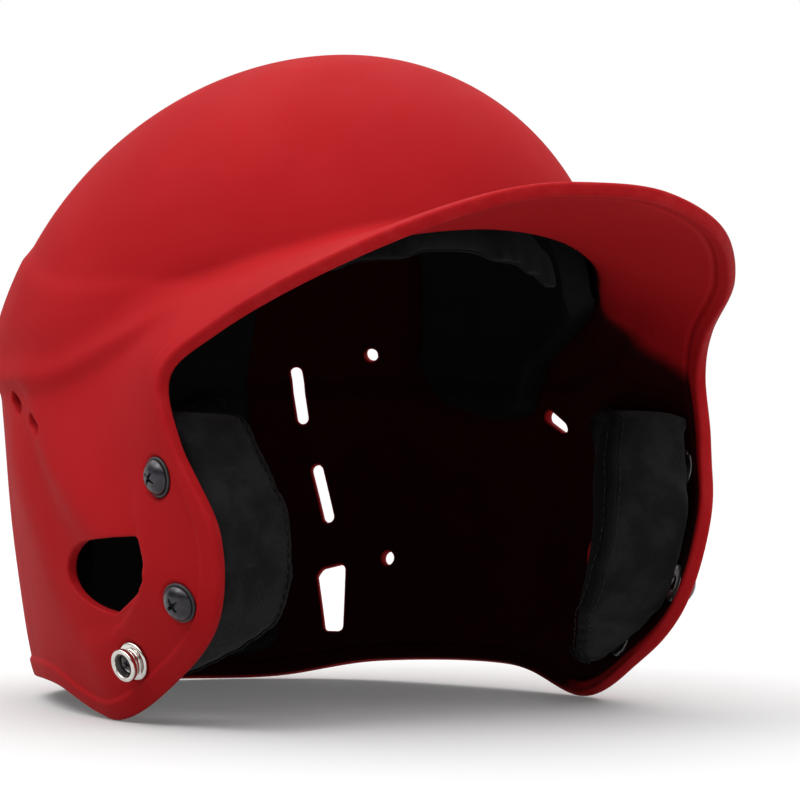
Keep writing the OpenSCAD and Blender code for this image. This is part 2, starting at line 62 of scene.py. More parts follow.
# free edge from the front middle to the rear middle of the wearer's left:
# x, y, z | azimuth and height where it leaves the dome | heading at the edge | pulls
EDGE_ROWS = np.array([
    [0, -BRIM_REACH, BRIM_HEIGHT, 0, 161, 0, -1, 0, 0.25, 0.8],
    [0.34 * BRIM_HALF, 2 - BRIM_REACH, BRIM_HEIGHT - 2.1, 12, 160, 0.15, -1, -0.05, 0.25, 0.8],
    [0.7 * BRIM_HALF, 13.5 - BRIM_REACH, BRIM_HEIGHT - 11.8, 25, 157, 0.45, -0.9, -0.25, 0.25, 0.8],
    [BRIM_HALF, 40.5 - BRIM_REACH, BRIM_HEIGHT - 27, 39, 151, 0.6, -0.8, -0.5, 0.25, 0.8],
    [TEMPLE - 8.6, 71 - BRIM_REACH, BRIM_HEIGHT - 42.6, 53, 144, 0.35, -0.9, -0.6, 0.3, 0.8],
    [TEMPLE, 15.5 - FLAP_REACH, 110.2, 65, 138.5, 0, -1, -0.4, 0.35, 0.8],
    [TEMPLE - 1.7, 10.5 - FLAP_REACH, 88.5, 75, 134, -0.3, -1, -0.1, 0.5, 0.8],
    [FLAP, -FLAP_REACH, 61.6, 84, 131, -0.5, -0.9, -0.25, 0.75, 0.9],
    [FLAP - 4.7, 8.5 - FLAP_REACH, 33.2, 92, 129, -0.6, -0.6, -0.5, 1, 0.95],
    [TIP - 1.9, 35.5 - FLAP_REACH, 13.5, 100, 128, -0.62, -0.25, -0.75, 0.78, 0.72],
    [TIP, 70.6 - FLAP_REACH, 0, 109, 127, -0.6, 0, -0.8, 0.7, 0.66],
    [TIP - 0.3, NAPE - 93, 7.8, 124, 120, -0.4, -0.1, -0.9, 0.42, 0.45],
    [0.54 * NAPE, NAPE - 36, 6.3, 146, 118, -0.3, -0.4, -0.88, 0.6, 0.4],
    [0.306 * NAPE, NAPE - 11, 0.3, 163, 117, -0.15, -0.45, -0.88, 0.65, 0.6],
    [0, NAPE, 0, 180, 117, 0, -0.5, -0.87, 0.7, 0.6]])
LAST = len(EDGE_ROWS) - 1
ROUND = 2 * LAST
MIRROR_SIGN = np.array([-1, 1, 1, -1, 1, -1, 1, 1, 1, 1.0])


def ease(x):
    x = np.clip(x, 0, 1)
    return x * x * (3 - 2 * x)


def ramp(x, start, width):
    """Rises smoothly from 0 at start to 1 a width further on."""
    return ease((x - start) / width)


def unit(a):
    return a / np.maximum(np.linalg.norm(a, axis=-1, keepdims=True), 1e-12)


def cubic(a, b, slope_a, slope_b, f):
    """Smooth run from a to b with a slope at each end, at share f of the way."""
    return (a * (1 - 3 * f**2 + 2 * f**3) + b * (3 * f**2 - 2 * f**3)
            + slope_a * (f - 2 * f**2 + f**3) + slope_b * (f**3 - f**2))


def dome(p, t):
    """Dome point at azimuth p from the front and angle t down from the crown, degrees."""
    p, t = np.radians(p), np.radians(t)
    return np.stack([
        DOME_HALF_WIDTH * np.sin(t) * np.sin(p) * (1 - DOME_EGG * np.cos(p)),
        CROWN_SET + DOME_LEAN * (1 - np.cos(t)) - DOME_HALF_LENGTH * np.sin(t) * np.cos(p),
        RING_HEIGHT + (CROWN_HEIGHT - RING_HEIGHT) * np.cos(t) + 0 * p], -1)


def edge_row(i):
    over = i > LAST
    r = EDGE_ROWS[np.where(over, ROUND - i, np.abs(i))]
    r = np.where(((i < 0) | over)[..., None], r * MIRROR_SIGN, r)
    r[..., 3] += np.where(over, 360, 0)
    return r


def station(s):
    """Smooth curve through the edge rows; s runs from 0 to LAST."""
    i = np.minimum(np.floor(s).astype(int), LAST - 1)
    f = (s - i)[..., None]
    a, b = edge_row(i), edge_row(i + 1)
    return cubic(a, b, (b - edge_row(i - 1)) / 2, (edge_row(i + 2) - a) / 2, f)


def plain(s, v):
    """The form without its sculpted lines, at station s (0 to LAST) and row v (0 crown, 1 edge)."""
    s, v = np.broadcast_arrays(np.asarray(s, float), np.asarray(v, float))
    c = station(s)
    rise = (c[..., 4] - RING_HEIGHT) / (CROWN_HEIGHT - RING_HEIGHT)
    t = np.degrees(np.arccos(np.clip(rise, 0, 1)))
    j = dome(c[..., 3], t)
    span = np.linalg.norm(c[..., :3] - j, axis=-1, keepdims=True)
    a = unit(dome(c[..., 3], t + 0.5) - dome(c[..., 3], t - 0.5)) * span * c[..., 8:9]
    b = unit(c[..., 5:8]) * span * c[..., 9:10]
    f = np.clip((v - JOIN) / (1 - JOIN), 0, 1)[..., None]
    low = cubic(j, c[..., :3], a, b, f)
    return np.where((v < JOIN)[..., None], dome(c[..., 3], t * np.minimum(v / JOIN, 1)), low)


def outward(s, v):
    k = np.clip(v, 0.004, 0.999)
    n = unit(np.cross(plain(s, k + 0.001) - plain(s, k - 0.004),
                      plain_any(s + 0.02, k) - plain_any(s - 0.02, k)))
    return np.where((np.asarray(v) < 0.004)[..., None], [0.0, 0.0, 1.0], n)


def fold(s):
    """Station on the wearer's left and the side (+1 left, -1 right) for any station round the helmet."""
    s = np.mod(np.asarray(s, float), ROUND)
    return np.where(s <= LAST, s, ROUND - s), np.where(s <= LAST, 1.0, -1.0)


def plain_any(s, v):
    q, side = fold(s)
    p = plain(q, v)
    p[..., 0] *= side
    return p


# -------------------------------------------------------- sculpted lines
BAND_STEP, RIDGE_STEP, GROOVE = 1.2, 3.0, 1.2
LIP_WIDTH, LIP_RISE, LIP_SOFT = 6.5, 0.9, 1.3
PANEL_RISE, PANEL_SOFT = 0.9, 1.6
BAND_TOP, BAND_CLIMB = 139, 14  # upper border of the side band: height at the temple, climb behind it
LEDGE_TOP, LEDGE_FALL = 138, 31  # ledge under the band: height at the brim, fall towards the rear
RELIEF_EDGE, LEDGE_RUN = 6, 60  # how softly band and ledge end, how far the ledge fades downward
# crease in front of the ear hole, as y and z on the flap, from its top to its lower end
PANEL_CREASE = np.array([(-46.5, 84), (-45.5, 68), (-48.2, 58), (-49.6, 51.5), (-44, 42.5),
                         (-28.5, 31.8), (-13, 26.5), (0, 24.5)], float)


def crease_side(y, z, line):
    """Signed distance to an open polyline in the y-z plane, positive on its front side."""
    best, sign = np.full(y.shape, 1e9), np.ones(y.shape)
    for (y0, z0), (y1, z1) in zip(line[:-1], line[1:]):
        ey, ez = y1 - y0, z1 - z0
        f = np.clip(((y - y0) * ey + (z - z0) * ez) / (ey * ey + ez * ez), 0, 1)
        dy, dz = y - y0 - f * ey, z - z0 - f * ez
        d = np.hypot(dy, dz)
        near = d < best - 1e-9
        sign = np.where(near, np.sign(ey * dz - ez * dy), sign)
        best = np.where(near, d, best)
    return -best * sign


def relief(p, v):
    """Height of the sculpted lines over the plain form at point p in row v."""
    round_head = np.degrees(np.arctan2(np.abs(p[..., 0]), 20 - p[..., 1]))
    up = p[..., 2] - BAND_TOP - BAND_CLIMB * ramp(round_head, 80, 50)
    down = LEDGE_TOP - LEDGE_FALL * ramp(round_head, 30, 62) - p[..., 2]
    half = RELIEF_EDGE / 2
    band = BAND_STEP * ramp(round_head, 25, 25) * (1 - ramp(up, -half, RELIEF_EDGE))
    ridge = (RIDGE_STEP * ramp(round_head, 45, 20) * ramp(down, -half, RELIEF_EDGE)
             * (1 - ease(down / LEDGE_RUN)))
    groove = GROOVE * ramp(round_head, 35, 20) * np.exp(-((down + 10) / RELIEF_EDGE) ** 2)
    front = ease(0.5 + crease_side(p[..., 1], p[..., 2], PANEL_CREASE) / PANEL_SOFT)
    reach = (1 - ramp(p[..., 1], -12, 14)) * (1 - ramp(p[..., 2], 66, 16)) * ramp(round_head, 40, 10)
    return (1 - ramp(v, 0.6, 0.38)) * (band - ridge - groove) + PANEL_RISE * front * reach * (v > JOIN)


def edge_distance(s, v):
    return np.linalg.norm(plain(s, v) - station(s)[..., :3], axis=-1)


def lip(s, v):
    return LIP_RISE * (1 - ramp(edge_distance(s, v), LIP_WIDTH, LIP_SOFT)) * (v > 0.75)


def skin(s, v, depth=0.0):
    """Point at a depth under the outer face, and the outward normal there."""
    q, side = fold(s)
    v = np.asarray(v, float)
    p, n = plain(q, v), outward(q, v)
    p = p + n * (relief(p, v) + lip(q, v) - depth)[..., None] + SHIFT
    flip = np.stack([side, side * 0 + 1, side * 0 + 1], -1)
    return p * flip, n * flip


# ------------------------------------------------------------- openings
def seat_frame(place):
    """Origin and local axes at a place on the wearer's left; local Z is outward, local Y up."""
    p, n = skin(np.array(place[0]), np.array(place[1]))
    x = unit(np.cross([0.0, 0.0, 1.0], n))
    return p, np.stack([x, np.cross(n, x), n])


GUARD_UPPER, GUARD_LOWER, STUD_PLACE = (6.6, 0.9), (8.0, 0.95), (9.25, 0.938)
EAR_PLACE = (8.76, 0.845)
EAR_LENGTH, EAR_HEIGHT, EAR_CORNER = 49.0, 25.4, 3.0
PORT_WIDTH, PORT_HEIGHT = 11.0, 25.0


def ear_outline():
    """Upright edge and sharp corner to the front, round at the back, drawn in by the corner."""
    shape = np.array([(-0.96, 1), (-1, 0.6), (-1, 0.05), (-0.85, -0.25), (-0.05, -1),
                      (0.33, -0.83), (0.68, -0.55), (0.93, -0.2), (1, 0.16), (0.9, 0.5),
                      (0.55, 0.76), (0, 0.94), (-0.45, 1)])
    back = shape[4:]
    for _ in range(2):
        cut = np.stack([0.75 * back[:-1] + 0.25 * back[1:], 0.25 * back[:-1] + 0.75 * back[1:]], 1)
        back = np.concatenate([back[:1], cut.reshape(-1, 2), back[-1:]])
    return np.concatenate([shape[:4], back]) * (EAR_LENGTH / 2 - EAR_CORNER, EAR_HEIGHT / 2 - EAR_CORNER)


def port_outline():
    """Tapered port at the back, drawn in by its corner."""
    w, h = PORT_WIDTH - 2 * PORT_CORNER, PORT_HEIGHT / 2 - PORT_CORNER
    return np.array([(-0.4 * w, -h), (0.1 * w, -h), (0.6 * w, 0.72 * h), (0.45 * w, 0.86 * h),
                     (-0.4 * w, h)])


def polygon_distance(x, y, poly, corner):
    best, inside = np.full(x.shape, 1e9), np.zeros(x.shape, bool)
    for (x0, y0), (x1, y1) in zip(poly, np.roll(poly, -1, axis=0)):
        ex, ey = x1 - x0, y1 - y0
        f = np.clip(((x - x0) * ex + (y - y0) * ey) / (ex * ex + ey * ey), 0, 1)
        best = np.minimum(best, np.hypot(x - x0 - f * ex, y - y0 - f * ey))
        crossing = ((y0 > y) != (y1 > y)) & (x < x0 + ex * (y - y0) / (ey if ey else 1e-9))
        inside ^= crossing
    return np.where(inside, -best, best) - corner


def slot_distance(x, y, length, width, turn):
    c, d = math.cos(math.radians(turn)), math.sin(math.radians(turn))
    x, y = x * c + y * d, y * c - x * d
    return np.hypot(x, y - np.clip(y, -(length - width) / 2, (length - width) / 2)) - width / 2


def round_hole(diameter):
    return lambda x, y: np.hypot(x, y) - diameter / 2


SLOT_LENGTH, VENT_LENGTH, SLOT_WIDTH, PORT_CORNER = 22, 12, 4.4, 2
ROUND_VENT, GUARD_BORE, STUD_BORE = 5, 7.3, 6.5


def slot(length, turn):
    return lambda x, y: slot_distance(x, y, length, SLOT_WIDTH, turn)


HOLES = [  # place, reach of the cut, distance to its outline in the local plane
    (EAR_PLACE, 28, lambda x, y: polygon_distance(x, y, ear_outline(), EAR_CORNER)),
    ((12.18, 0.577), 14, slot(SLOT_LENGTH, -9)), ((12.14, 0.72), 14, slot(SLOT_LENGTH, -15)),
    ((12.3, 0.862), 16, lambda x, y: polygon_distance(x, y, port_outline(), PORT_CORNER)),
    ((9.42, 0.612), 9, slot(VENT_LENGTH, -62)), ((8.52, 0.643), 9, slot(VENT_LENGTH, -62)),
    ((11.48, 0.498), 5, round_hole(ROUND_VENT)), ((11.73, 0.81), 5, round_hole(ROUND_VENT)),
    (GUARD_UPPER, 6, round_hole(GUARD_BORE)), (GUARD_LOWER, 6, round_hole(GUARD_BORE)),
    (STUD_PLACE, 5, round_hole(STUD_BORE))]
# place, outer radius under the washer or stud and inner radius under the nut
SEATS = [(GUARD_UPPER, 6.75, 7.3), (GUARD_LOWER, 6.75, 7.3), (STUD_PLACE, 6.65, 7.3)]
HOLE_FRAMES = [seat_frame(place) for place, _, _ in HOLES]
SEAT_FRAMES = [seat_frame(place) for place, _, _ in SEATS]
FAR = 60.0  # stands for no opening near
WALL_REACH = 14  # openings and seats work on points this near their plane


def to_local(p, held):
    """Local coordinates of points, the wearer's right folded onto the left."""
    origin, axes = held
    q = p.copy()
    q[..., 0] = np.abs(q[..., 0])
    return (q - origin) @ axes.T


def hole_distance(p):
    """Distance from each point to the nearest opening's outline, and the unit way into it."""
    best, way = np.full(p.shape[:-1], FAR), np.zeros(p.shape)
    side = np.where(p[..., 0] < 0, -1.0, 1.0)
    for held, (_, reach, outline) in zip(HOLE_FRAMES, HOLES):
        q = to_local(p, held)
        near = (np.abs(q[..., 2]) < WALL_REACH) & (np.hypot(q[..., 0], q[..., 1]) < reach + 8)
        if not near.any():
            continue
        x, y = q[near][:, 0], q[near][:, 1]
        d, h = outline(x, y), 0.02
        gx = (outline(x + h, y) - outline(x - h, y)) / (2 * h)
        gy = (outline(x, y + h) - outline(x, y - h)) / (2 * h)
        into = -unit(np.stack([gx, gy], -1)) @ held[1][:2]
        into[:, 0] *= side[near]
        where = np.argwhere(near)
        closer = d < best[near]
        at = tuple(where[closer].T)
        best[at] = d[closer]
        way[at] = into[closer]
    return best, way


def flatten_seats(p, inner):
    """Presses the wall flat under each washer, stud and nut flange."""
    for (origin, axes), (_, outer_r, inner_r) in zip(SEAT_FRAMES, SEATS):
        q = to_local(p, (origin, axes))
        level = -WALL + SEAT if inner else -SEAT
        r = inner_r if inner else outer_r
        k = 1 - ramp(np.hypot(q[..., 0], q[..., 1]), r, 0.35)
        k = k * (np.abs(q[..., 2]) < 12)
        move = (k * (level - q[..., 2]))[..., None] * axes[2]
        move[..., 0] *= np.where(p[..., 0] < 0, -1.0, 1.0)
        p = p + move
    return p


# ------------------------------------------------------------- the shell
COLUMNS, UPPER_ROWS = 352, 104
EDGE_OFFSETS = [11, 10, 9.2, 8.5, 7.9, 7.3, 6.7, 6.0, 5.0, 4.0, 3.0, 2.0, 1.3]
EDGE_ROUND, HOLE_ROUND, ROUND_STEPS = 1.3, 0.7, 4
INNER_LIP, INNER_LIP_WIDTH = 0.9, 5.0
SPLIT_PARTS, SPLIT_MARGIN = 3, 3.5


def shell_rows():
    """Stations and rows of the shell's grid: even steps down to the lip, then fine ones."""
    s = ROUND * np.arange(COLUMNS) / COLUMNS
    q, _ = fold(s)
    v = np.linspace(0, 1, 161)
    line = plain(q[:, None] + 0 * v, v + 0 * q[:, None])
    run = np.concatenate([np.zeros((COLUMNS, 1)),
                          np.cumsum(np.linalg.norm(np.diff(line, axis=1), axis=-1), axis=1)], 1)
    total = run[:, -1]
    levels = [(total - EDGE_OFFSETS[0]) * k / UPPER_ROWS for k in range(1, UPPER_ROWS)]
    levels += [total - d for d in EDGE_OFFSETS]
    rows = np.array([[np.interp(lv[i], run[i], v) for i in range(COLUMNS)] for lv in levels])
    return s, rows


def split_near_holes(points, faces, parts, margin):
    """Cuts the faces within a margin of every opening and seat into parts x parts.

    Their neighbours gain points on the shared edges.
    """
    pos, _ = skin(points[:, 0], points[:, 1])
    d, _ = hole_distance(pos)
    seat = np.full(len(d), FAR)
    for held, (_, outer_r, _) in zip(SEAT_FRAMES, SEATS):
        q = to_local(pos, held)
        ring = np.abs(np.hypot(q[:, 0], q[:, 1]) - outer_r - 0.2)
        seat = np.minimum(seat, np.where(np.abs(q[:, 2]) < 12, ring, FAR))
    fine = np.minimum(np.abs(d), seat) < margin
    points = [tuple(p) for p in points]
    between, out, rest = {}, [], []

    def edge_points(a, b):
        key = (min(a, b), max(a, b))
        if key not in between:
            pa, pb = np.array(points[key[0]]), np.array(points[key[1]])
            ids = []
            for k in range(1, parts):
                ids.append(len(points))
                points.append(tuple(pa + (pb - pa) * k / parts))
            between[key] = ids
        return between[key] if a < b else between[key][::-1]

    for f in faces:
        if len(f) != 4 or not fine[list(f)].any():
            rest.append(f)
            continue
        a, b, c, e = f
        top, low = [a] + edge_points(a, b) + [b], [e] + edge_points(e, c) + [c]
        left, right = edge_points(a, e), edge_points(b, c)
        rows = [top]
        for k in range(1, parts):
            row = [left[k - 1]]
            for m in range(1, parts):
                p0, p1 = np.array(points[top[m]]), np.array(points[low[m]])
                row.append(len(points))
                points.append(tuple(p0 + (p1 - p0) * k / parts))
            rows.append(row + [right[k - 1]])
        rows.append(low)
        for r0, r1 in zip(rows[:-1], rows[1:]):
            out += [(r0[m], r0[m + 1], r1[m + 1], r1[m]) for m in range(parts)]
    for f in rest:
        ring = []
        for a, b in zip(f, f[1:] + f[:1]):
            ring.append(a)
            key = (min(a, b), max(a, b))
            if key in between:
                ring += between[key] if a < b else between[key][::-1]
        out.append(tuple(ring))
    return np.array(points), out


def clip_holes(points, faces, level):
    """Trims the faces where the openings are and returns the new rim edges."""
    def height(p):
        return hole_distance(skin(p[:, 0], p[:, 1])[0])[0] - level

    h = height(points)
    crossing = {}
    for f in faces:
        for a, b in zip(f, f[1:] + f[:1]):
            if (h[a] < 0) != (h[b] < 0):
                crossing[(min(a, b), max(a, b))] = None
    keys = list(crossing)
    lo = np.array([points[a] if h[a] < 0 else points[b] for a, b in keys])
    hi = np.array([points[b] if h[a] < 0 else points[a] for a, b in keys])
    for _ in range(12):
        mid = (lo + hi) / 2
        low = (height(mid) < 0)[:, None]
        lo, hi = np.where(low, mid, lo), np.where(low, hi, mid)
    for k, key in enumerate(keys):
        crossing[key] = len(points) + k
    points = np.concatenate([points, hi])
    kept, rim = [], []
    for f in faces:
        signs = [h[i] >= 0 for i in f]
        if all(signs):
            kept.append(f)
            continue
        if not any(signs):
            continue
        ring, cuts = [], []
        for k, a in enumerate(f):
            b = f[(k + 1) % len(f)]
            if signs[k]:
                ring.append(a)
            if signs[k] != signs[(k + 1) % len(f)]:
                c = crossing[(min(a, b), max(a, b))]
                cuts.append((c, signs[k]))
                ring.append(c)
        if len(ring) > 2:
            kept.append(tuple(ring))
        for k, (c, leaving) in enumerate(cuts):
            if leaving:
                rim.append((c, cuts[(k + 1) % len(cuts)][0]))
    return points, kept, rim


def wall_profile(radius, thickness):
    """Offsets into the gap and depths under the outer face, round one edge of the wall."""
    turn = np.radians(np.linspace(0, 90, ROUND_STEPS + 1))
    first = [(radius * math.sin(a), radius * (1 - math.cos(a))) for a in turn[1:]]
    second = [(radius * math.cos(a), thickness - radius + radius * math.sin(a)) for a in turn[:-1]]
    return first + second


def build_shell():
    s, rows = shell_rows()
    n, m = COLUMNS, len(rows)
    points = [(0.0, 0.0)] + [(s[i], rows[k, i]) for k in range(m) for i in range(n)]
    faces = [(0, 1 + i, 1 + (i + 1) % n) for i in range(n)]
    for k in range(m - 1):
        a = 1 + k * n
        faces += [(a + i, a + n + i, a + n + (i + 1) % n, a + (i + 1) % n) for i in range(n)]
    edge_ids = [1 + (m - 1) * n + i for i in range(n)]
    points, faces = split_near_holes(np.array(points), faces, SPLIT_PARTS, SPLIT_MARGIN)
    points, faces, rim = clip_holes(points, faces, HOLE_ROUND)
    used = sorted({i for f in faces for i in f})
    renumber = {old: new for new, old in enumerate(used)}
    points = points[used]
    faces = [tuple(renumber[i] for i in f) for f in faces]
    rim = [(renumber[a], renumber[b]) for a, b in rim]
    edge_ids = [renumber[i] for i in edge_ids]

    outer, normal = skin(points[:, 0], points[:, 1])
    q, _ = fold(points[:, 0])
    gap = edge_distance(q, points[:, 1])
    thick = WALL + INNER_LIP * (1 - ramp(gap, INNER_LIP_WIDTH, 1.2)) * (points[:, 1] > 0.75)
    inner = flatten_seats(outer - normal * thick[:, None], True)
    outer = flatten_seats(outer, False)
    count = len(outer)
    verts = [outer, inner]
    polys = list(faces) + [tuple(i + count for i in f[::-1]) for f in faces]

    def close(pairs, way, radius):
        """Rounds the wall between the outer and inner edge of each pair of points."""
        nonlocal polys
        ids = sorted({i for p in pairs for i in p})
        column = {i: k for k, i in enumerate(ids)}
        top, low = outer[ids], inner[ids]
        depth = np.linalg.norm(top - low, axis=-1)
        down = unit(low - top)
        base = sum(len(v) for v in verts)
        profile = wall_profile(radius, 1.0)
        for k in range(len(profile)):
            off = np.array([wall_profile(radius, t)[k] for t in depth])
            verts.append(top + way[ids] * off[:, :1] + down * off[:, 1:])
        for a, b in pairs:
            stack_a = [a] + [base + k * len(ids) + column[a] for k in range(len(profile))] + [a + count]
            stack_b = [b] + [base + k * len(ids) + column[b] for k in range(len(profile))] + [b + count]
            for a0, a1, b0, b1 in zip(stack_a[:-1], stack_a[1:], stack_b[:-1], stack_b[1:]):
                polys.append((a0, a1, b1, b0))

    _, into = hole_distance(outer)
    close([(b, a) for a, b in rim], into, HOLE_ROUND)
    ahead = np.zeros(outer.shape)
    at = points[edge_ids]
    ahead[edge_ids] = unit(skin(at[:, 0], at[:, 1] + 0 * at[:, 1])[0]
                           - skin(at[:, 0], at[:, 1] - 0.01)[0])
    close([(edge_ids[i], edge_ids[(i + 1) % n]) for i in range(n)], ahead, EDGE_ROUND)
    shell = mesh_object("shell_moulding", np.concatenate(verts), polys)
    extra = sum(len(v) for v in verts) - 2 * count
    # painted shade: "inside" darkens the inner face where it lies deep in the helmet, and the inner rows of
    # the rim's wall towards the rear, where shade falls
    flap_on, rear = ramp(q, 4.4, 1.2), ramp(q, 9.6, 0.8)
    deep = (1 - ramp(points[:, 1], JOIN, 0.07)) * (1 - flap_on) \
        + np.maximum(ramp(gap, 1.5, 4), rear) * flap_on
    back = (np.concatenate(verts)[2 * count:] - SHIFT)[:, 1]
    lip_shade = np.maximum(ramp(back, 5, 25), 0.6 * ramp(back, -62, 20))
    levels = 2 * ROUND_STEPS
    row = np.concatenate([np.zeros(extra - levels * n), np.repeat(np.arange(levels), n)])
    mark(shell, "inside", np.concatenate([np.zeros(count), deep, lip_shade * ramp(row, 2, 4)]))
    rub = np.exp(-np.maximum(gap, 0) / 1.6)
    mark(shell, "rub", np.concatenate([rub, rub * 0.6, np.full(extra, 0.85)]))
    return shell


def add_object(name, data):
    ob = bpy.data.objects.new(name, data)
    bpy.context.scene.collection.objects.link(ob)
    return ob


def shade_smooth(me):
    me.polygons.foreach_set("use_smooth", [True] * len(me.polygons))


def mesh_object(name, points_mm, polys):
    """A smooth-shaded object in the scene from points in millimetres, its faces turned outward."""
    me = bpy.data.meshes.new(name)
    me.from_pydata((np.asarray(points_mm) * MM).tolist(), [], [tuple(int(i) for i in f) for f in polys])
    me.validate()
    shade_smooth(me)
    ob = add_object(name, me)
    fix_normals(ob)
    return ob


def mark(ob, name, values):
    """Keeps a number on every point for the material to read."""
    a = ob.data.attributes.new(name, "FLOAT", "POINT")
    a.data.foreach_set("value", np.ascontiguousarray(values, dtype=np.float32))


def fix_normals(ob):
    bm = bmesh.new()
    bm.from_mesh(ob.data)
    bmesh.ops.recalc_face_normals(bm, faces=bm.faces)
    bm.to_mesh(ob.data)
    bm.free()


# ------------------------------------------------------------ materials
def graph(name):
    """A new material with its node tree, its shader and the place on the object."""
    m = bpy.data.materials.new(name)
    m.use_nodes = True
    tree = m.node_tree
    place = tree.nodes.new("ShaderNodeTexCoord").outputs["Object"]
    return m, tree, tree.nodes["Principled BSDF"], place


def feed(tree, node, values):
    """Links or sets each named socket of a node."""
    for key, value in values.items():
        if hasattr(value, "links"):
            tree.links.new(value, node.inputs[key])
        else:
            node.inputs[key].default_value = value


def made(tree, kind, values):
    node = tree.nodes.new(kind)
    feed(tree, node, values)
    return node


def noise(tree, vector, scale, detail=4.0, rough=0.55, stretch=None):
    """Noise in object space; scale is in features per metre."""
    if stretch:
        vector = made(tree, "ShaderNodeMapping", {"Scale": stretch, "Vector": vector}).outputs["Vector"]
    return made(tree, "ShaderNodeTexNoise", {"Scale": scale, "Detail": detail, "Roughness": rough,
                                             "Vector": vector}).outputs["Fac"]


def cells(tree, vector, scale):
    return made(tree, "ShaderNodeTexVoronoi", {"Scale": scale, "Vector": vector}).outputs["Distance"]


def span(tree, value, low, high, to_low=0.0, to_high=1.0):
    """Takes a value smoothly from one range to another."""
    n = made(tree, "ShaderNodeMapRange", {"Value": value, "From Min": low, "From Max": high,
                                          "To Min": to_low, "To Max": to_high})
    n.interpolation_type = "SMOOTHSTEP"
    return n.outputs["Result"]


def blend_colour(tree, fac, a, b):
    """Colour a where fac is 0 and colour b where it is 1."""
    n = tree.nodes.new("ShaderNodeMix")
    n.data_type = "RGBA"
    a, b = (c if hasattr(c, "links") else (*c, 1) for c in (a, b))
    feed(tree, n, {0: fac, 6: a, 7: b})
    return n.outputs[2]


def math_node(tree, how, a, b):
    n = made(tree, "ShaderNodeMath", {0: a, 1: b})
    n.operation = how
    return n.outputs[0]


def times(tree, a, b):
    return math_node(tree, "MULTIPLY", a, b)


def plus(tree, a, b):
    return math_node(tree, "ADD", a, b)


def minus(tree, a, b):
    return math_node(tree, "SUBTRACT", a, b)


def bump(tree, shader, height, strength, distance, after=None):
    """Bump over the shader's normal, or over an earlier bump; distance is in metres."""
    n = made(tree, "ShaderNodeBump", {"Strength": strength, "Distance": distance, "Height": height})
    if after is not None:
        feed(tree, n, {"Normal": after})
    feed(tree, shader, {"Normal": n.outputs["Normal"]})
    return n.outputs["Normal"]


def attribute(tree, name):
    n = tree.nodes.new("ShaderNodeAttribute")
    n.attribute_name = name
    return n.outputs["Fac"]


SHADE_RED, LIT_RED = (0.265, 0.0045, 0.0065), (0.295, 0.006, 0.008)
SPECK_RED, WORN_RED = (0.38, 0.02, 0.024), (0.36, 0.016, 0.019)
# painted shade: near-black reds that stand for the shade deep inside the shell
INSIDE_SHADE_LOW, INSIDE_SHADE_HIGH = (0.014, 0.0008, 0.0012), (0.022, 0.0012, 0.0018)
# darker tones for the ear cushion's faces towards the head
HEADSIDE_LOW, HEADSIDE_HIGH = (0.0022, 0.0021, 0.0023), (0.0042, 0.004, 0.0043)
FOAM_DARK, FOAM_PALE = (0.0016, 0.0015, 0.0017), (0.0034, 0.0032, 0.0035)


def moulded_red():
    """Matte red plastic, a little rubbed along its edges, with painted shade that turns it near-black deep
    inside.
    """
    m, t, s, at = graph("matte_red_plastic")
    tone = blend_colour(t, span(t, noise(t, at, 14, 3), 0.35, 0.7), SHADE_RED, LIT_RED)
    speck = span(t, noise(t, at, 1500, 2), 0.66, 0.8)
    tone = blend_colour(t, times(t, speck, 0.10), tone, SPECK_RED)
    worn = times(t, attribute(t, "rub"), span(t, noise(t, at, 170, 5, 0.7), 0.42, 0.7))
    tone = blend_colour(t, times(t, worn, 0.35), tone, WORN_RED)
    edge = times(t, minus(t, noise(t, at, 120, 4), 0.5), 0.25)
    # painted shade: the "inside" mark, broken up by noise, turns the red near-black and rougher deep inside
    painted_shade = span(t, plus(t, attribute(t, "inside"), edge), 0.25, 0.85)
    shade_colour = blend_colour(t, noise(t, at, 60, 4), INSIDE_SHADE_LOW, INSIDE_SHADE_HIGH)
    rough = span(t, noise(t, at, 45, 5), 0.3, 0.75, 0.68, 0.78)
    rough = minus(t, rough, times(t, worn, 0.12))
    feed(t, s, {"Base Color": blend_colour(t, painted_shade, tone, shade_colour), "Specular IOR Level": 0.05,
                "Roughness": plus(t, rough, times(t, painted_shade, 0.2))})
    peel = bump(t, s, noise(t, at, 520, 2), 0.22, 0.00012)
    bump(t, s, noise(t, at, 2600, 2), 0.3, 0.00005, peel)
    return m


def knit(name, dark, light, pile=1.0):
    """Brushed knit over foam: fine loops, fuzz and patches where the nap lies differently."""
    m, t, s, at = graph(name)
    patches = span(t, noise(t, at, 75, 5, 0.65), 0.36, 0.66)
    fibres = noise(t, at, 1700, 3, 0.7)
    streaks = noise(t, at, 420, 3, 0.6, (0.35, 0.35, 1.6))
    tone = plus(t, times(t, patches, 0.55), times(t, plus(t, fibres, streaks), 0.3))
    cloth = blend_colour(t, span(t, tone, 0.25, 0.95), dark, light)
    # darker, with less sheen, where the cushion is marked as facing the head
    headside_tone = blend_colour(t, streaks, HEADSIDE_LOW, HEADSIDE_HIGH)
    headside_share = span(t, attribute(t, "headside"), 0.45, 0.55)
    feed(t, s, {"Base Color": blend_colour(t, headside_share, cloth, headside_tone), "Roughness": 0.93,
                "Specular IOR Level": 0.14, "Sheen Weight": span(t, headside_share, 0, 1, 0.09 * pile, 0.02),
                "Sheen Roughness": 0.45, "Sheen Tint": (0.55, 0.55, 0.58, 1)})
    loops = bump(t, s, cells(t, at, 1250), 0.45, 0.0003)
    fuzz = bump(t, s, fibres, 0.5 * pile, 0.00035, loops)
    bump(t, s, noise(t, at, 160, 3), 0.35, 0.0006, fuzz)
    return m


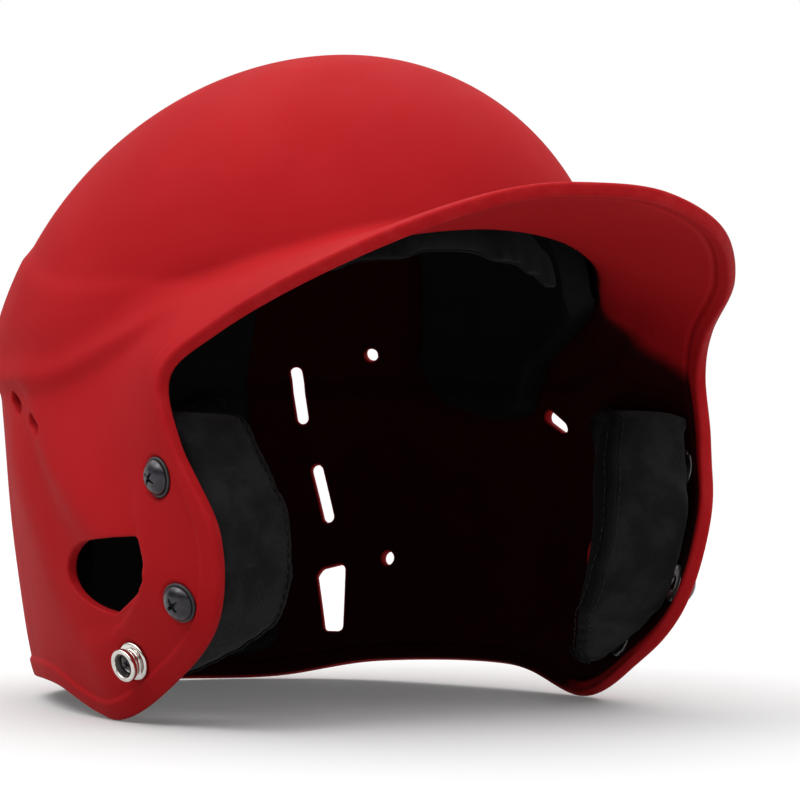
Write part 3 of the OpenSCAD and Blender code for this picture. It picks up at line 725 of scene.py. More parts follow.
def closed_cell_foam():
    m, t, s, at = graph("black_closed_cell_foam")
    tone = span(t, noise(t, at, 90, 4), 0.3, 0.75)
    feed(t, s, {"Base Color": blend_colour(t, tone, FOAM_DARK, FOAM_PALE), "Roughness": 0.82,
                "Specular IOR Level": 0.16})
    pores = bump(t, s, cells(t, at, 1400), 0.5, 0.00025)
    bump(t, s, noise(t, at, 220, 3), 0.3, 0.0006, pores)
    return m


def metal(name, low, high, rough, metallic=1.0, coat=0.0, grain=900.0, depth=0.00003):
    """Metal between two tones, with fine grain in its roughness and its surface."""
    m, t, s, at = graph(name)
    tone = span(t, noise(t, at, 350, 4), 0.3, 0.7)
    feed(t, s, {"Base Color": blend_colour(t, tone, low, high), "Metallic": metallic,
                "Coat Weight": coat, "Coat Roughness": 0.12,
                "Roughness": span(t, noise(t, at, grain, 3), 0.25, 0.8, rough * 0.8, rough * 1.3)})
    bump(t, s, noise(t, at, grain * 2.5, 2), 0.3, depth)
    return m


def rubber():
    m, t, s, at = graph("black_rubber")
    tone = blend_colour(t, noise(t, at, 400, 3), (0.009, 0.009, 0.0095), (0.02, 0.02, 0.021))
    feed(t, s, {"Base Color": tone, "Roughness": span(t, noise(t, at, 900, 3), 0.3, 0.7, 0.5, 0.68)})
    bump(t, s, noise(t, at, 2200, 2), 0.3, 0.00006)
    return m


def thread():
    m, t, s, at = graph("twisted_thread")
    strands = noise(t, at, 5200, 2, 0.6)
    tone = blend_colour(t, strands, (0.003, 0.003, 0.0033), (0.009, 0.009, 0.0098))
    feed(t, s, {"Base Color": tone, "Roughness": 0.8, "Specular IOR Level": 0.2, "Sheen Weight": 0.05})
    bump(t, s, strands, 0.5, 0.0001)
    return m


RED = moulded_red()
EAR_KNIT = knit("brushed_charcoal_knit", (0.0024, 0.0024, 0.0026), (0.0092, 0.0092, 0.0097))
LINER_KNIT = knit("charcoal_mesh_knit", (0.0020, 0.0019, 0.0022), (0.0058, 0.0056, 0.0064), 0.6)
BINDING = knit("seam_binding", (0.0016, 0.0016, 0.0018), (0.0040, 0.0040, 0.0043), 0.3)
FOAM = closed_cell_foam()
BLACK_STEEL = metal("black_oxide_steel", (0.004, 0.0035, 0.005), (0.022, 0.018, 0.027), 0.32, 0.5, 0.3,
                    1500, 0.00008)
RUBBER = rubber()
ZINC = metal("zinc_plate", (0.40, 0.40, 0.39), (0.55, 0.55, 0.56), 0.34)
NICKEL = metal("nickel_plate", (0.62, 0.60, 0.56), (0.74, 0.72, 0.68), 0.16, 1.0, 0.0, 700)
THREAD = thread()


def finish_piece(ob, material, body="helmet", node=None):
    """Gives a piece its material, hides the node it stands for and puts it on its body."""
    ob.data.materials.clear()
    ob.data.materials.append(material)
    if node:
        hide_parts(node)
    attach(ob, body)
    return ob


def ring_faces(a, b, n):
    """Faces between two closed rings of n points, which start at a and at b."""
    return [(a + i, a + (i + 1) % n, b + (i + 1) % n, b + i) for i in range(n)]


# ---------------------------------------------------------- blocks and pads
FOAM_TOP = WALL + 1.2
FOAM_LOW = FOAM_TOP + 11.0
PAD_TOP = FOAM_LOW + 1.0
SIDE_GAP = 0.9  # the side blocks stand this much further off the shell

# middle and half width in stations, middle and half height in rows, and the grid
FRONT_FOAM = {"s_mid": 0, "s_half": 3.6, "v_mid": 0.34, "v_half": 0.115, "na": 48, "nb": 14}
SIDE_FOAM = {"s_mid": 7.6, "s_half": 3.2, "v_mid": 0.39, "v_half": 0.165, "na": 44, "nb": 22,
             "drop": 0.08}
REAR_FOAM = {"s_mid": LAST, "s_half": 1.15, "v_mid": 0.6, "v_half": 0.36, "na": 20, "nb": 44}
REAR_PAD = {"s_mid": LAST, "s_half": 1, "v_mid": 0.66, "v_half": 0.12, "na": 36, "nb": 28,
            "soft": 0.12, "rim": 0.45}
REAR_PAD_LIFT, REAR_PAD_DEPTH = 0.6, 8.0
CROWN_FOAM = {"v_end": 0.2, "rows": 8, "n": 72}
CROWN_PAD = {"v_end": 0.12, "rows": 6, "n": 60, "crowned": 0.35}
CROWN_PAD_DEPTH = 6.0


def bulge(x, power):
    """Share of the full depth at x from -1 to 1: 1 in the middle, 0 at the ends."""
    return np.sqrt(np.clip(1 - x ** power, 0, 1))


def block_faces(na, nb):
    w = nb + 1
    q = (na + 1) * w
    border = ([j for j in range(nb)] + [i * w + nb for i in range(na)]
              + [na * w + j for j in range(nb, 0, -1)] + [i * w for i in range(na, 0, -1)])
    faces = [(i * w + j, i * w + j + 1, (i + 1) * w + j + 1, (i + 1) * w + j)
             for i in range(na) for j in range(nb)]
    faces += [tuple(q + k for k in f[::-1]) for f in faces]
    faces += [(a, b, b + q, a + q) for a, b in zip(border, border[1:] + border[:1])]
    return faces


def patch(top, low, s_mid, s_half, v_mid, v_half, na, nb, soft=0.08, rim=1.0, drop=0.0):
    """Block between two depths over a patch of the surface; its inner face thins to the rim.

    soft draws the corners in, and drop lowers the lower border towards the rear.
    """
    a, b = np.meshgrid(np.linspace(-1, 1, na + 1), np.linspace(-1, 1, nb + 1), indexing="ij")
    swell = rim + (1 - rim) * bulge(a, 4) * bulge(b, 4)
    s = (s_mid + s_half * a * (1 - soft * b ** 6)) % ROUND
    v = v_mid + v_half * b * (1 - soft * a ** 6) + drop * ramp(s, s_mid, 1.6) * (1 + b) / 2
    outer = skin(s, v, top)[0]
    inner = skin(s, v, top + (low - top) * swell)[0]
    return np.concatenate([outer.reshape(-1, 3), inner.reshape(-1, 3)]), block_faces(na, nb)


def cap(top, low, v_end, rows, n, crowned=0.0):
    """Domed disc round the crown between two depths."""
    s = ROUND * np.arange(n) / n
    points, faces = [], []
    for side, level in enumerate((top, low)):
        base = len(points)
        points += [skin(np.array([0.0]), np.array([0.0]), level)[0]]
        for k in range(1, rows + 1):
            share = k / rows
            depth = level - (low - top) * crowned * share ** 4 * side
            points += list(skin(s, 0 * s + v_end * share, depth)[0][:, None])
        base = side * (1 + rows * n)
        ring = [(base, base + 1 + (i + 1) % n, base + 1 + i) for i in range(n)]
        for k in range(rows - 1):
            ring += ring_faces(base + 1 + k * n, base + 1 + (k + 1) * n, n)
        faces += ring if side == 0 else [f[::-1] for f in ring]
    last = 1 + (rows - 1) * n
    faces += ring_faces(last, last + 1 + rows * n, n)
    return np.concatenate([np.reshape(p, (-1, 3)) for p in points]), faces


EAR_WELL, EAR_TOP, EAR_DEPTH, EAR_THIN = 52.0, WALL + 1.2, 34.5, 0.22
EAR_OUTLINE = np.array([  # station, row, and how full the wall stands there
    (10.3, 0.925, 0.3), (10, 0.955, 0.5), (9.5, 0.972, 0.7), (9, 0.98, 0.8), (8.5, 0.984, 0.85),
    (8, 0.985, 0.9), (7.5, 0.985, 0.97), (7, 0.985, 1), (6.5, 0.985, 1), (6, 0.985, 0.95),
    (5.55, 0.985, 0.85), (5.66, 0.93, 0.85), (5.86, 0.85, 0.85), (6.2, 0.775, 0.75),
    (6.6, 0.71, 0.6), (7, 0.69, 0.3), (7.45, 0.69, 0)])
EAR_TURNS, EAR_RINGS = 120, 16
EAR_REACH = (-1, 0.14, 0)  # the way the pad stands off the flap
WELL_SHARE, RIM_SHARE, END_SHARE = 0.35, 0.6, 0.45  # thickness that is left at the pad's borders
THIN_FROM, THIN_RUN = 2, 58  # the pad thins towards the back over this run along Y
WELL_LINE = 0.06  # share of the way to the rim where the welt round the well lies


def curve_along(rows, t):
    """Smooth open curve through rows of numbers, at t from 0 to 1."""
    n = len(rows) - 1
    i = np.minimum(np.floor(t * n).astype(int), n - 1)
    f = (t * n - i)[..., None]
    a, b = rows[i], rows[i + 1]
    before, after = rows[np.maximum(i - 1, 0)], rows[np.minimum(i + 2, n)]
    return cubic(a, b, (b - before) / 2, (after - a) / 2, f)


def ear_pad_points(t, f, inner):
    """Points of the left ear cushion at t along its bend and share f from the well to the rim."""
    t, f = np.broadcast_arrays(np.asarray(t, float), np.asarray(f, float))
    h = 0.01
    c = np.array(EAR_PLACE)

    def at(s, v):
        return skin(np.array(s), np.array(v))[0]

    es = (at(c[0] + h, c[1]) - at(c[0] - h, c[1])) / (2 * h)
    ev = (at(c[0], c[1] + h) - at(c[0], c[1] - h)) / (2 * h)
    row = curve_along(EAR_OUTLINE, t)
    edge, u = row[..., :2], row[..., :2] - c
    hole = c + u * (EAR_WELL / 2 / np.linalg.norm(u[..., :1] * es + u[..., 1:] * ev, axis=-1))[..., None]
    q = hole + (edge - hole) * f[..., None]
    p = skin(q[..., 0], q[..., 1], EAR_TOP)[0]
    if not inner:
        return p
    k = WELL_SHARE + RIM_SHARE * f * row[..., 2]
    swell = k + (1 - k) * bulge(np.abs(2 * f - 1), 3)
    ends = END_SHARE + (1 - END_SHARE) * bulge(np.abs(2 * t - 1), 8)
    thin = np.clip((THIN_FROM - p[..., 1]) / THIN_RUN, EAR_THIN, 1)
    return p + unit(np.array(EAR_REACH, float)) * (EAR_DEPTH * swell * ends * thin)[..., None]


def ear_pad():
    n, m = EAR_TURNS, EAR_RINGS
    t = np.linspace(0, 1, n + 1)
    rings = [ear_pad_points(t, k / m, False) for k in range(m + 1)]
    rings += [ear_pad_points(t, k / m, True) for k in range(m, -1, -1)]
    w = len(rings)
    faces = [(k * (n + 1) + i, (k + 1) % w * (n + 1) + i, (k + 1) % w * (n + 1) + i + 1,
              k * (n + 1) + i + 1) for k in range(w) for i in range(n)]
    for k in range(m):
        for end, turn in ((0, 1), (n, -1)):
            a, b = k * (n + 1) + end, (w - 1 - k) * (n + 1) + end
            faces.append((a, b, b - n - 1, a + n + 1)[::turn])
    return np.concatenate(rings), faces


BROW_HALF, BROW_LOW, BROW_DROP, BROW_RISE, BROW_DEPTH = 54.0, 151.5, 17.0, 28.0, 8.0
BROW_EDGE = 0.45  # share of the depth that is left at the brow pad's border


def brow_points(a, b, inner):
    """Points of the brow cushion; a and b run from -1 to 1 across and up."""
    a, b = np.broadcast_arrays(np.asarray(a, float), np.asarray(b, float))
    p = BROW_HALF * a * (1 - 0.08 * b ** 6)
    z = BROW_LOW - BROW_DROP * a * a + BROW_RISE * (0.5 + 0.5 * b * (1 - 0.3 * a ** 8))
    t = np.degrees(np.arccos(np.clip((z - RING_HEIGHT) / (CROWN_HEIGHT - RING_HEIGHT), 0, 1)))
    n = unit(np.cross(dome(p, t + 0.5) - dome(p, t - 0.5), dome(p + 0.5, t) - dome(p - 0.5, t)))
    swell = BROW_EDGE + (1 - BROW_EDGE) * bulge(a, 6) * bulge(b, 4)
    depth = PAD_TOP + (BROW_DEPTH * swell if inner else 0)
    return dome(p, t) - n * np.asarray(depth)[..., None] + SHIFT


def brow_pad():
    na, nb = 72, 18
    a, b = np.meshgrid(np.linspace(-1, 1, na + 1), np.linspace(-1, 1, nb + 1), indexing="ij")
    points = [brow_points(a, b, inner).reshape(-1, 3) for inner in (False, True)]
    return np.concatenate(points), block_faces(na, nb)


def baked(ob):
    """Applies the modifiers of an object."""
    graph_now = bpy.context.evaluated_depsgraph_get()
    me = bpy.data.meshes.new_from_object(ob.evaluated_get(graph_now))
    old = ob.data
    ob.modifiers.clear()
    ob.data = me
    bpy.data.meshes.remove(old)
    return ob


def vertex_values(me, what):
    """Coordinates (co) or normals (normal) of all vertices, one row each."""
    held = np.empty(len(me.vertices) * 3)
    me.vertices.foreach_get(what, held)
    return held.reshape(-1, 3)


def set_coordinates(me, co):
    me.vertices.foreach_set("co", np.ascontiguousarray(co, dtype=float).ravel())
    me.update()


PRESSURE, CLOTH_FRAMES, FINE_LEVELS = 4.0, 20, 2
TENSION, SHEAR, BENDING = 25, 15, 1.5  # stiffness of the cover


def inflate(ob, voxel, slim, most, side=None):
    """Turns a closed form into a stuffed pad: an even mesh, air pressure in cloth, then smoothing.

    The form starts thinner by slim, and no point moves further than most, or than slim where it
    faces the way called side.
    """
    set_coordinates(ob.data, vertex_values(ob.data, "co") - vertex_values(ob.data, "normal") * slim * MM)
    r = ob.modifiers.new("remesh", "REMESH")
    r.mode, r.voxel_size, r.use_smooth_shade = "VOXEL", voxel * MM, True
    baked(ob)
    s = ob.modifiers.new("relax", "SMOOTH")
    s.factor, s.iterations = 0.5, 5
    baked(ob)
    rest, way = vertex_values(ob.data, "co"), vertex_values(ob.data, "normal")
    c = ob.modifiers.new("air", "CLOTH")
    c.settings.quality = 5
    c.settings.use_pressure = True
    c.settings.uniform_pressure_force = PRESSURE
    c.settings.effector_weights.gravity = 0
    c.settings.tension_stiffness = c.settings.compression_stiffness = TENSION
    c.settings.shear_stiffness, c.settings.bending_stiffness = SHEAR, BENDING
    c.point_cache.frame_start, c.point_cache.frame_end = 1, CLOTH_FRAMES
    for f in range(1, CLOTH_FRAMES + 1):
        bpy.context.scene.frame_set(f)
    graph_now = bpy.context.evaluated_depsgraph_get()
    moved = vertex_values(ob.evaluated_get(graph_now).to_mesh(), "co")
    ob.evaluated_get(graph_now).to_mesh_clear()
    ob.modifiers.clear()
    bpy.context.scene.frame_set(1)
    step = moved - rest
    limit = np.full(len(rest), most * MM)
    if side is not None:
        limit = np.where(way @ np.array(side) > 0.25, slim * MM, limit)
    size = np.linalg.norm(step, axis=-1)
    step *= np.minimum(1, limit / np.maximum(size, 1e-9))[:, None]
    set_coordinates(ob.data, rest + step)
    d = ob.modifiers.new("fine", "SUBSURF")
    d.levels = d.render_levels = FINE_LEVELS
    baked(ob)
    shade_smooth(ob.data)
    return ob


def swap_side(me):
    me.transform(Matrix.Diagonal((-1, 1, 1, 1)))
    me.flip_normals()


def mirrored(ob, name):
    me = ob.data.copy()
    swap_side(me)
    return add_object(name, me)


def surface_tree(*obs):
    """Nearest-point search over the final surface of some pieces."""
    verts, polys = [], []
    for ob in obs:
        base = len(verts)
        verts += [v.co.copy() for v in ob.data.vertices]
        polys += [tuple(base + i for i in p.vertices) for p in ob.data.polygons]
    return BVHTree.FromPolygons(verts, polys)


def length_along(pts):
    """Length run from the first point to each point of a line."""
    return np.concatenate([[0], np.cumsum(np.linalg.norm(np.diff(pts, axis=0), axis=1))])


def resampled(pts, run, at):
    """A line's values, given at each length run, taken at other lengths."""
    return np.stack([np.interp(at, run, pts[:, k]) for k in range(3)], -1)


def laid(tree, line, closed=True, step=1.0):
    """A line in millimetres laid on a surface: even points, tangents and surface normals."""
    pts = np.array([tree.find_nearest(Vector(q) * MM)[0] for q in line]) / MM
    if closed:
        pts = np.concatenate([pts, pts[:1]])
    run = length_along(pts)
    count = max(8, int(run[-1] / step))
    at = np.linspace(0, run[-1], count + 1)[:-1 if closed else None]
    pts = resampled(pts, run, at)
    for _ in range(3):
        if closed:
            pts = (np.roll(pts, 1, 0) + 2 * pts + np.roll(pts, -1, 0)) / 4
        else:
            pts[1:-1] = (pts[:-2] + 2 * pts[1:-1] + pts[2:]) / 4
    hits = [tree.find_nearest(Vector(q) * MM) for q in pts]
    pts = np.array([np.array(h[0]) / MM for h in hits])
    way = np.array([np.array(h[1]) for h in hits])
    for _ in range(4):
        way = unit(np.roll(way, 1, 0) + way + np.roll(way, -1, 0)) if closed else way
    along = unit(np.roll(pts, -1, 0) - np.roll(pts, 1, 0)) if closed else unit(np.gradient(pts, axis=0))
    return pts, along, way


def oval(wide, tall, lift):
    """Cross-section of a welt as across and up."""
    turns = np.radians(range(0, 360, 30))
    return [(wide * math.cos(a), lift + tall * math.sin(a)) for a in turns]


def square_line(count):
    """Round a square from -1 to 1, count points a side."""
    g, one = np.linspace(-1, 1, count), np.ones(count)
    return np.concatenate([g, one, -g, -one]), np.concatenate([-one, g, one, -g])


def strip(name, laid_line, profile, closed=True):
    """Sweeps a closed cross-section, given as across and up, along a laid line."""
    pts, along, way = laid_line
    across = unit(np.cross(along, way))
    k = len(profile)
    rings = [pts + across * x + way * y for x, y in profile]
    verts = np.stack(rings, 1).reshape(-1, 3)
    n = len(pts)
    faces = [(i * k + j, (i + 1) % n * k + j, (i + 1) % n * k + (j + 1) % k, i * k + (j + 1) % k)
             for i in range(n if closed else n - 1) for j in range(k)]
    if not closed:
        faces += [tuple(range(k)), tuple((n - 1) * k + j for j in range(k - 1, -1, -1))]
    return mesh_object(name, verts, faces)


STITCH, STITCH_GAP, THREAD_WIDTH = 2.3, 1.1, 0.42
SINK, ARCH = 0.02, 0.28  # how high the ends and the middle of a stitch stand over the cloth
BEADS, THREAD_SIDES = 6, 6


def stitches(name, lines):
    """Rows of short thread dashes lying along laid lines, each shifted across by an offset."""
    verts, faces = [], []
    turns = np.radians(360 * np.arange(THREAD_SIDES) / THREAD_SIDES)
    for (pts, along, way), shift in lines:
        across = unit(np.cross(along, way))
        run = length_along(pts)
        for start in np.arange(0.6, run[-1] - STITCH - 0.5, STITCH + STITCH_GAP):
            at = start + STITCH * np.linspace(0, 1, BEADS)
            mid, up, side = (resampled(held, run, at) for held in (pts + across * shift, way, across))
            base = len(verts)
            for q, (c, u, w) in enumerate(zip(mid, unit(up), unit(side))):
                share = q / (BEADS - 1)
                taper = math.sin(math.pi * min(max(share, 0.12), 0.88)) ** 0.5
                fat = THREAD_WIDTH / 2 * (0.35 + 0.65 * taper)
                rise = SINK + ARCH * math.sin(math.pi * share)
                verts += [c + u * (rise + fat * math.sin(g)) + w * fat * math.cos(g) for g in turns]
            for q in range(BEADS - 1):
                faces += ring_faces(base + q * THREAD_SIDES, base + (q + 1) * THREAD_SIDES, THREAD_SIDES)
            last = base + (BEADS - 1) * THREAD_SIDES
            faces += [tuple(range(base + THREAD_SIDES - 1, base - 1, -1)),
                      tuple(range(last, last + THREAD_SIDES))]
    return mesh_object(name, verts, faces)


# -------------------------------------------------------------- hardware
def lathe(profile, steps, closed):
    """Turns a run of (radius, height) points about Z; a closed run makes a ring."""
    turns = 2 * np.pi * np.arange(steps) / steps
    points = [(r * math.cos(t), r * math.sin(t), z) for r, z in profile for t in turns]
    count, faces = len(profile), []
    for k in range(count if closed else count - 1):
        faces += ring_faces(k * steps, (k + 1) % count * steps, steps)
    return np.array(points), faces


def placed(name, held, points, faces, mirror):
    """Puts a mesh given in local coordinates at a place on the wearer's left or right."""
    origin, axes = held
    p = points @ axes + origin
    if mirror:
        p = p * (-1, 1, 1)
    return mesh_object(name, p, faces)


def rounded(profile, radius=0.2, steps=3):
    """Rounds each corner of an open or closed run of (radius, height) points."""
    p = np.asarray(profile, float)
    out = [p[0]]
    for a, b, c in zip(p[:-2], p[1:-1], p[2:]):
        la, lc = np.linalg.norm(a - b), np.linalg.norm(c - b)
        r = min(radius, 0.4 * la, 0.4 * lc)
        u, w = (a - b) / max(la, 1e-9), (c - b) / max(lc, 1e-9)
        for k in range(steps + 1):
            f = k / steps
            out.append(b + u * r * (1 - f) ** 2 + w * r * f ** 2)
    return out + [p[-1]]


HEAD_CHAMFER, TIP_DEPTH = 0.35, 1.3
WASHER_THICK, STUD_FLOOR = 1.0, 2.0
CLEAR = 0.02  # gap between parts that touch


def cross_cut(x, y, arm, wide, turn):
    """How deep a point lies in a cross recess: 1 in its middle, 0 outside, with tapered arms."""
    c, s = np.cos(np.radians(turn)), np.sin(np.radians(turn))
    x, y = x * c + y * s, y * c - x * s
    u, w = np.maximum(np.abs(x), np.abs(y)), np.minimum(np.abs(x), np.abs(y))
    side = np.clip((wide * (1.15 - 0.35 * u / arm) - w) / (0.28 * wide), 0, 1)
    along = np.clip((arm - u) / (0.45 * arm), 0, 1)
    core = np.clip((1.7 * wide - np.hypot(x, y)) / (0.8 * wide), 0, 1)
    return np.maximum(ease(side) * ease(along), ease(core)) * ease(np.clip(side + core, 0, 1))


def screw_head(radius, height, recess, arm, wide, turn, rim=0.35, rings=46, steps=96):
    """Domed head with a cross recess, standing on z = 0, as rings from the rim to the middle."""
    r = radius * (1 - np.linspace(0, 1, rings))
    r[-1] = 0
    points, faces = [], []
    base = [(radius - HEAD_CHAMFER, 0.0), (radius - 0.1, 0.06), (radius, 0.25), (radius, rim)]
    a = 2 * np.pi * np.arange(steps) / steps
    for q, z in base:
        points += [(q * math.cos(t), q * math.sin(t), z) for t in a]
    for q in r[1:]:
        share = q / radius
        z = rim + (height - rim) * (1 - share ** 2.4) ** 0.8
        if q < 1e-9:
            points.append((0.0, 0.0, z - recess))
            continue
        x, y = q * np.cos(a), q * np.sin(a)
        cut = recess * cross_cut(x, y, arm, wide, turn)
        points += list(zip(x, y, z - cut))
    rows = len(base) + rings - 2
    for k in range(rows - 1):
        faces += ring_faces(k * steps, (k + 1) * steps, steps)
    k = (rows - 1) * steps
    faces += [(k + i, k + (i + 1) % steps, rows * steps) for i in range(steps)]
    return np.array(points), faces


def threaded(radius, low, high, pitch, depth, steps=36):
    """Shank from low to high: a plain neck at the top, a rolled thread below and a chamfered tip."""
    tip, neck, turns = 0.6, 0.8, 8  # lengths left plain at the ends, and rings to one turn of thread
    z = np.arange(low + tip, high - neck, pitch / turns)
    points, faces = [(0, 0, low)], []
    a = 2 * np.pi * np.arange(steps) / steps
    rows = [(radius - depth - 0.3, low, 0)] + [(radius, q, 1) for q in z]
    rows += [(radius, high - 0.7, 0), (radius, high, 0)]
    for r, q, cut in rows:
        wave = 0.5 + 0.5 * np.cos(2 * np.pi * q / pitch - a)
        ends = min(1, q - low, (high - neck - q) / neck) if cut else 0
        rr = r - depth * max(0, ends) * (1 - wave) ** 1.4
        points += list(zip(rr * np.cos(a), rr * np.sin(a), 0 * a + q))
    faces += [(0, 1 + (i + 1) % steps, 1 + i) for i in range(steps)]
    for k in range(len(rows) - 1):
        faces += ring_faces(1 + k * steps, 1 + (k + 1) * steps, steps)
    return np.array(points), faces


def joined(*parts):
    """Several point and face lists as one mesh."""
    points, faces, base = [], [], 0
    for p, f in parts:
        points.append(np.asarray(p, float))
        faces += [tuple(base + i for i in q) for q in f]
        base += len(p)
    return np.concatenate(points), faces


INNER_Z = -WALL + SEAT
HEAD_Z = -SEAT + WASHER_THICK + CLEAR


def guard_screw(turn):
    """Pan head on its washer and a shank into the nut; the recess stands at a turn in degrees."""
    shank, radius, steps = 2.5, 5.6, 96
    head, faces = screw_head(radius, 3.2, 2.0, 2.75, 0.6, turn, steps=steps)
    under = lathe([(shank, HEAD_Z), (radius - HEAD_CHAMFER, HEAD_Z)], steps, False)
    return joined((head + (0, 0, HEAD_Z), faces), under,
                  threaded(shank, INNER_Z - TIP_DEPTH, HEAD_Z, 0.8, 0.42))


def washer():
    low, high = -SEAT + CLEAR, -SEAT + WASHER_THICK
    mid = (low + high) / 2
    return lathe([(2.65, low + 0.1), (2.75, low), (6.1, low), (6.3, low + 0.1), (6.4, low + 0.3),
                  (6.4, mid + 0.15), (6.3, high - 0.12), (6.12, high), (5.9, high), (5.8, high - 0.03),
                  (2.75, high - 0.03), (2.65, high - 0.1)], 72, True)


def nut(bore, barrel, top, flange, thick, steps=64):
    """Shouldered nut: flange with three shallow grip notches, barrel up into the wall."""
    low = INNER_Z - CLEAR - thick
    profile = rounded([(bore, top - 0.25), (bore + 0.25, top), (barrel, top), (barrel, INNER_Z - 0.15),
                       (flange - 0.5, INNER_Z - CLEAR), (flange, INNER_Z - 0.25), (flange, low + 0.3),
                       (flange - 0.5, low), (barrel + 0.6, low), (barrel + 0.3, low),
                       (bore + 0.35, low), (bore, low + 0.3)], 0.12, 2)
    points, faces = lathe(profile, steps, True)
    a = np.arctan2(points[:, 1], points[:, 0])
    r = np.hypot(points[:, 0], points[:, 1])
    notch = np.clip((np.cos(3 * a) - 0.93) / 0.05, 0, 1) * np.clip((r - (flange - 0.9)) / 0.3, 0, 1)
    points[:, :2] *= (1 - 0.09 * ease(notch))[:, None]
    return points, faces


def stud():
    """Hollow snap stud: a wide foot, a waist and a rolled rim round a floor with a bore."""
    bore = 1.95
    profile = [(bore, 0.1), (bore + 0.15, 0), (5.9, 0), (6.15, 0.08), (6.3, 0.4), (6.3, 0.85), (6.2, 1.08),
               (6.0, 1.26), (5.8, 1.4), (5.0, 1.5), (4.55, 1.6), (4.35, 1.75), (4.35, 3.2), (4.45, 3.42),
               (4.9, 3.55), (5.22, 3.72), (5.34, 4.0), (5.35, 4.4), (5.35, 5.1), (5.28, 5.38), (5.08, 5.55),
               (4.8, 5.6), (4.3, 5.6), (4.05, 5.48), (3.9, 5.25), (3.85, 5.0), (3.85, 2.4), (3.75, 2.15),
               (3.5, 2.02), (bore + 0.15, 2.0), (bore, 1.9)]
    return lathe([(r, h - SEAT + CLEAR) for r, h in profile], 96, True)


def stud_screw(turn):
    """Small screw on the floor inside the stud."""
    shank, radius, steps, base = 1.9, 3.25, 64, -SEAT + STUD_FLOOR + 2 * CLEAR
    head, faces = screw_head(radius, 1.8, 1.15, 1.8, 0.42, turn, rim=0.8, rings=30, steps=steps)
    under = lathe([(shank, base), (radius - HEAD_CHAMFER, base)], steps, False)
    return joined((head + (0, 0, base), faces), under,
                  threaded(shank, INNER_Z - TIP_DEPTH, base, 0.7, 0.35))


NUT_TOP, NUT_FLANGE, NUT_THICK = -SEAT - 0.2, 6.5, 1.2
UPPER_TURN, LOWER_TURN, STUD_TURN = 38, 62, 20  # degrees that each recess is turned


def hardware():
    upper, lower, snap = SEAT_FRAMES
    guard_nut = nut(2.55, 3.5, NUT_TOP, NUT_FLANGE, NUT_THICK)
    stud_nut = nut(1.95, 3.1, NUT_TOP, NUT_FLANGE, NUT_THICK)
    for side, mirror in (("left", False), ("right", True)):
        fasteners = []
        for level, held, turn in (("upper", upper, UPPER_TURN), ("lower", lower, LOWER_TURN)):
            fasteners += [
                (f"{level}_guard_screw", "steel", held, guard_screw(turn), BLACK_STEEL, "black_steel"),
                (f"{level}_washer", "rubber", held, washer(), RUBBER, "black_rubber"),
                (f"{level}_nut", "zinc", held, guard_nut, ZINC, "plated_nut")]
        fasteners += [
            ("stud", "nickel", snap, stud(), NICKEL, "nickel_stud"),
            ("stud_screw", "steel", snap, stud_screw(STUD_TURN), BLACK_STEEL, "black_steel"),
            ("stud_nut", "zinc", snap, stud_nut, ZINC, "plated_nut")]
        for part, stuff, held, (points, faces), material, slot in fasteners:
            node = f"{side}_{part}"
            body = node if part.endswith("guard_screw") else "helmet"
            ob = placed(f"{node}_{stuff}", held, points, faces, mirror)
            finish_piece(ob, material, body, node)


# ------------------------------------------------------------- the pieces
def softened(ob, width):
    """Bevels the sharp border edges of a block."""
    b = ob.modifiers.new("round", "BEVEL")
    b.width, b.segments, b.limit_method, b.angle_limit = width * MM, 3, "ANGLE", math.radians(40)
    return baked(ob)


def liner():
    blocks = {"crown_foam": cap(FOAM_TOP, FOAM_LOW, **CROWN_FOAM),
              "front_foam": patch(FOAM_TOP, FOAM_LOW, **FRONT_FOAM),
              "left_foam": patch(FOAM_TOP + SIDE_GAP, FOAM_LOW, **SIDE_FOAM),
              "rear_foam": patch(FOAM_TOP, FOAM_LOW, **REAR_FOAM)}
    for node, (points, faces) in blocks.items():
        ob = softened(mesh_object(f"{node}_block", points, faces), 2.0)
        shade_smooth(ob.data)
        finish_piece(ob, FOAM, node=node)
        if node == "left_foam":
            twin = mirrored(ob, "right_foam_block")
            finish_piece(twin, FOAM, node="right_foam")


def ear_cushions():
    form = mesh_object("left_ear_cushion", *ear_pad())
    plan = surface_tree(form)
    left = inflate(form, voxel=3.6, slim=1.2, most=2.4, side=(1, 0, 0))
    rings = np.array([plan.find_nearest(v.co)[2] for v in left.data.vertices]) // EAR_TURNS
    mark(left, "headside", (rings > EAR_RINGS) * 1.0)
    tree = surface_tree(left)
    t = np.linspace(0, 1, 160)
    seam = laid(tree, ear_pad_points(t[5:-5], 1.0, True), False, 1.5)
    mouth = laid(tree, ear_pad_points(t[12:-12], WELL_LINE, True), False, 1.5)
    welt = oval(1.5, 0.75, 0.15)
    for side in ("left", "right"):
        other = side == "right"
        cushion = mirrored(left, "right_ear_cushion") if other else left
        pieces = []
        for name, line, k, material in (("welt", seam, 1.0, BINDING), ("well_welt", mouth, 0.8, BINDING)):
            w = strip(f"{side}_ear_{name}", line, [(x * k, y * k) for x, y in welt], False)
            pieces.append((w, material))
        pieces.append((stitches(f"{side}_ear_stitching", [(seam, 2.5), (seam, -2.5)]), THREAD))
        for ob, material in pieces:
            if other:
                swap_side(ob.data)
            finish_piece(ob, material)
        finish_piece(cushion, EAR_KNIT, node=f"{side}_ear_pad")


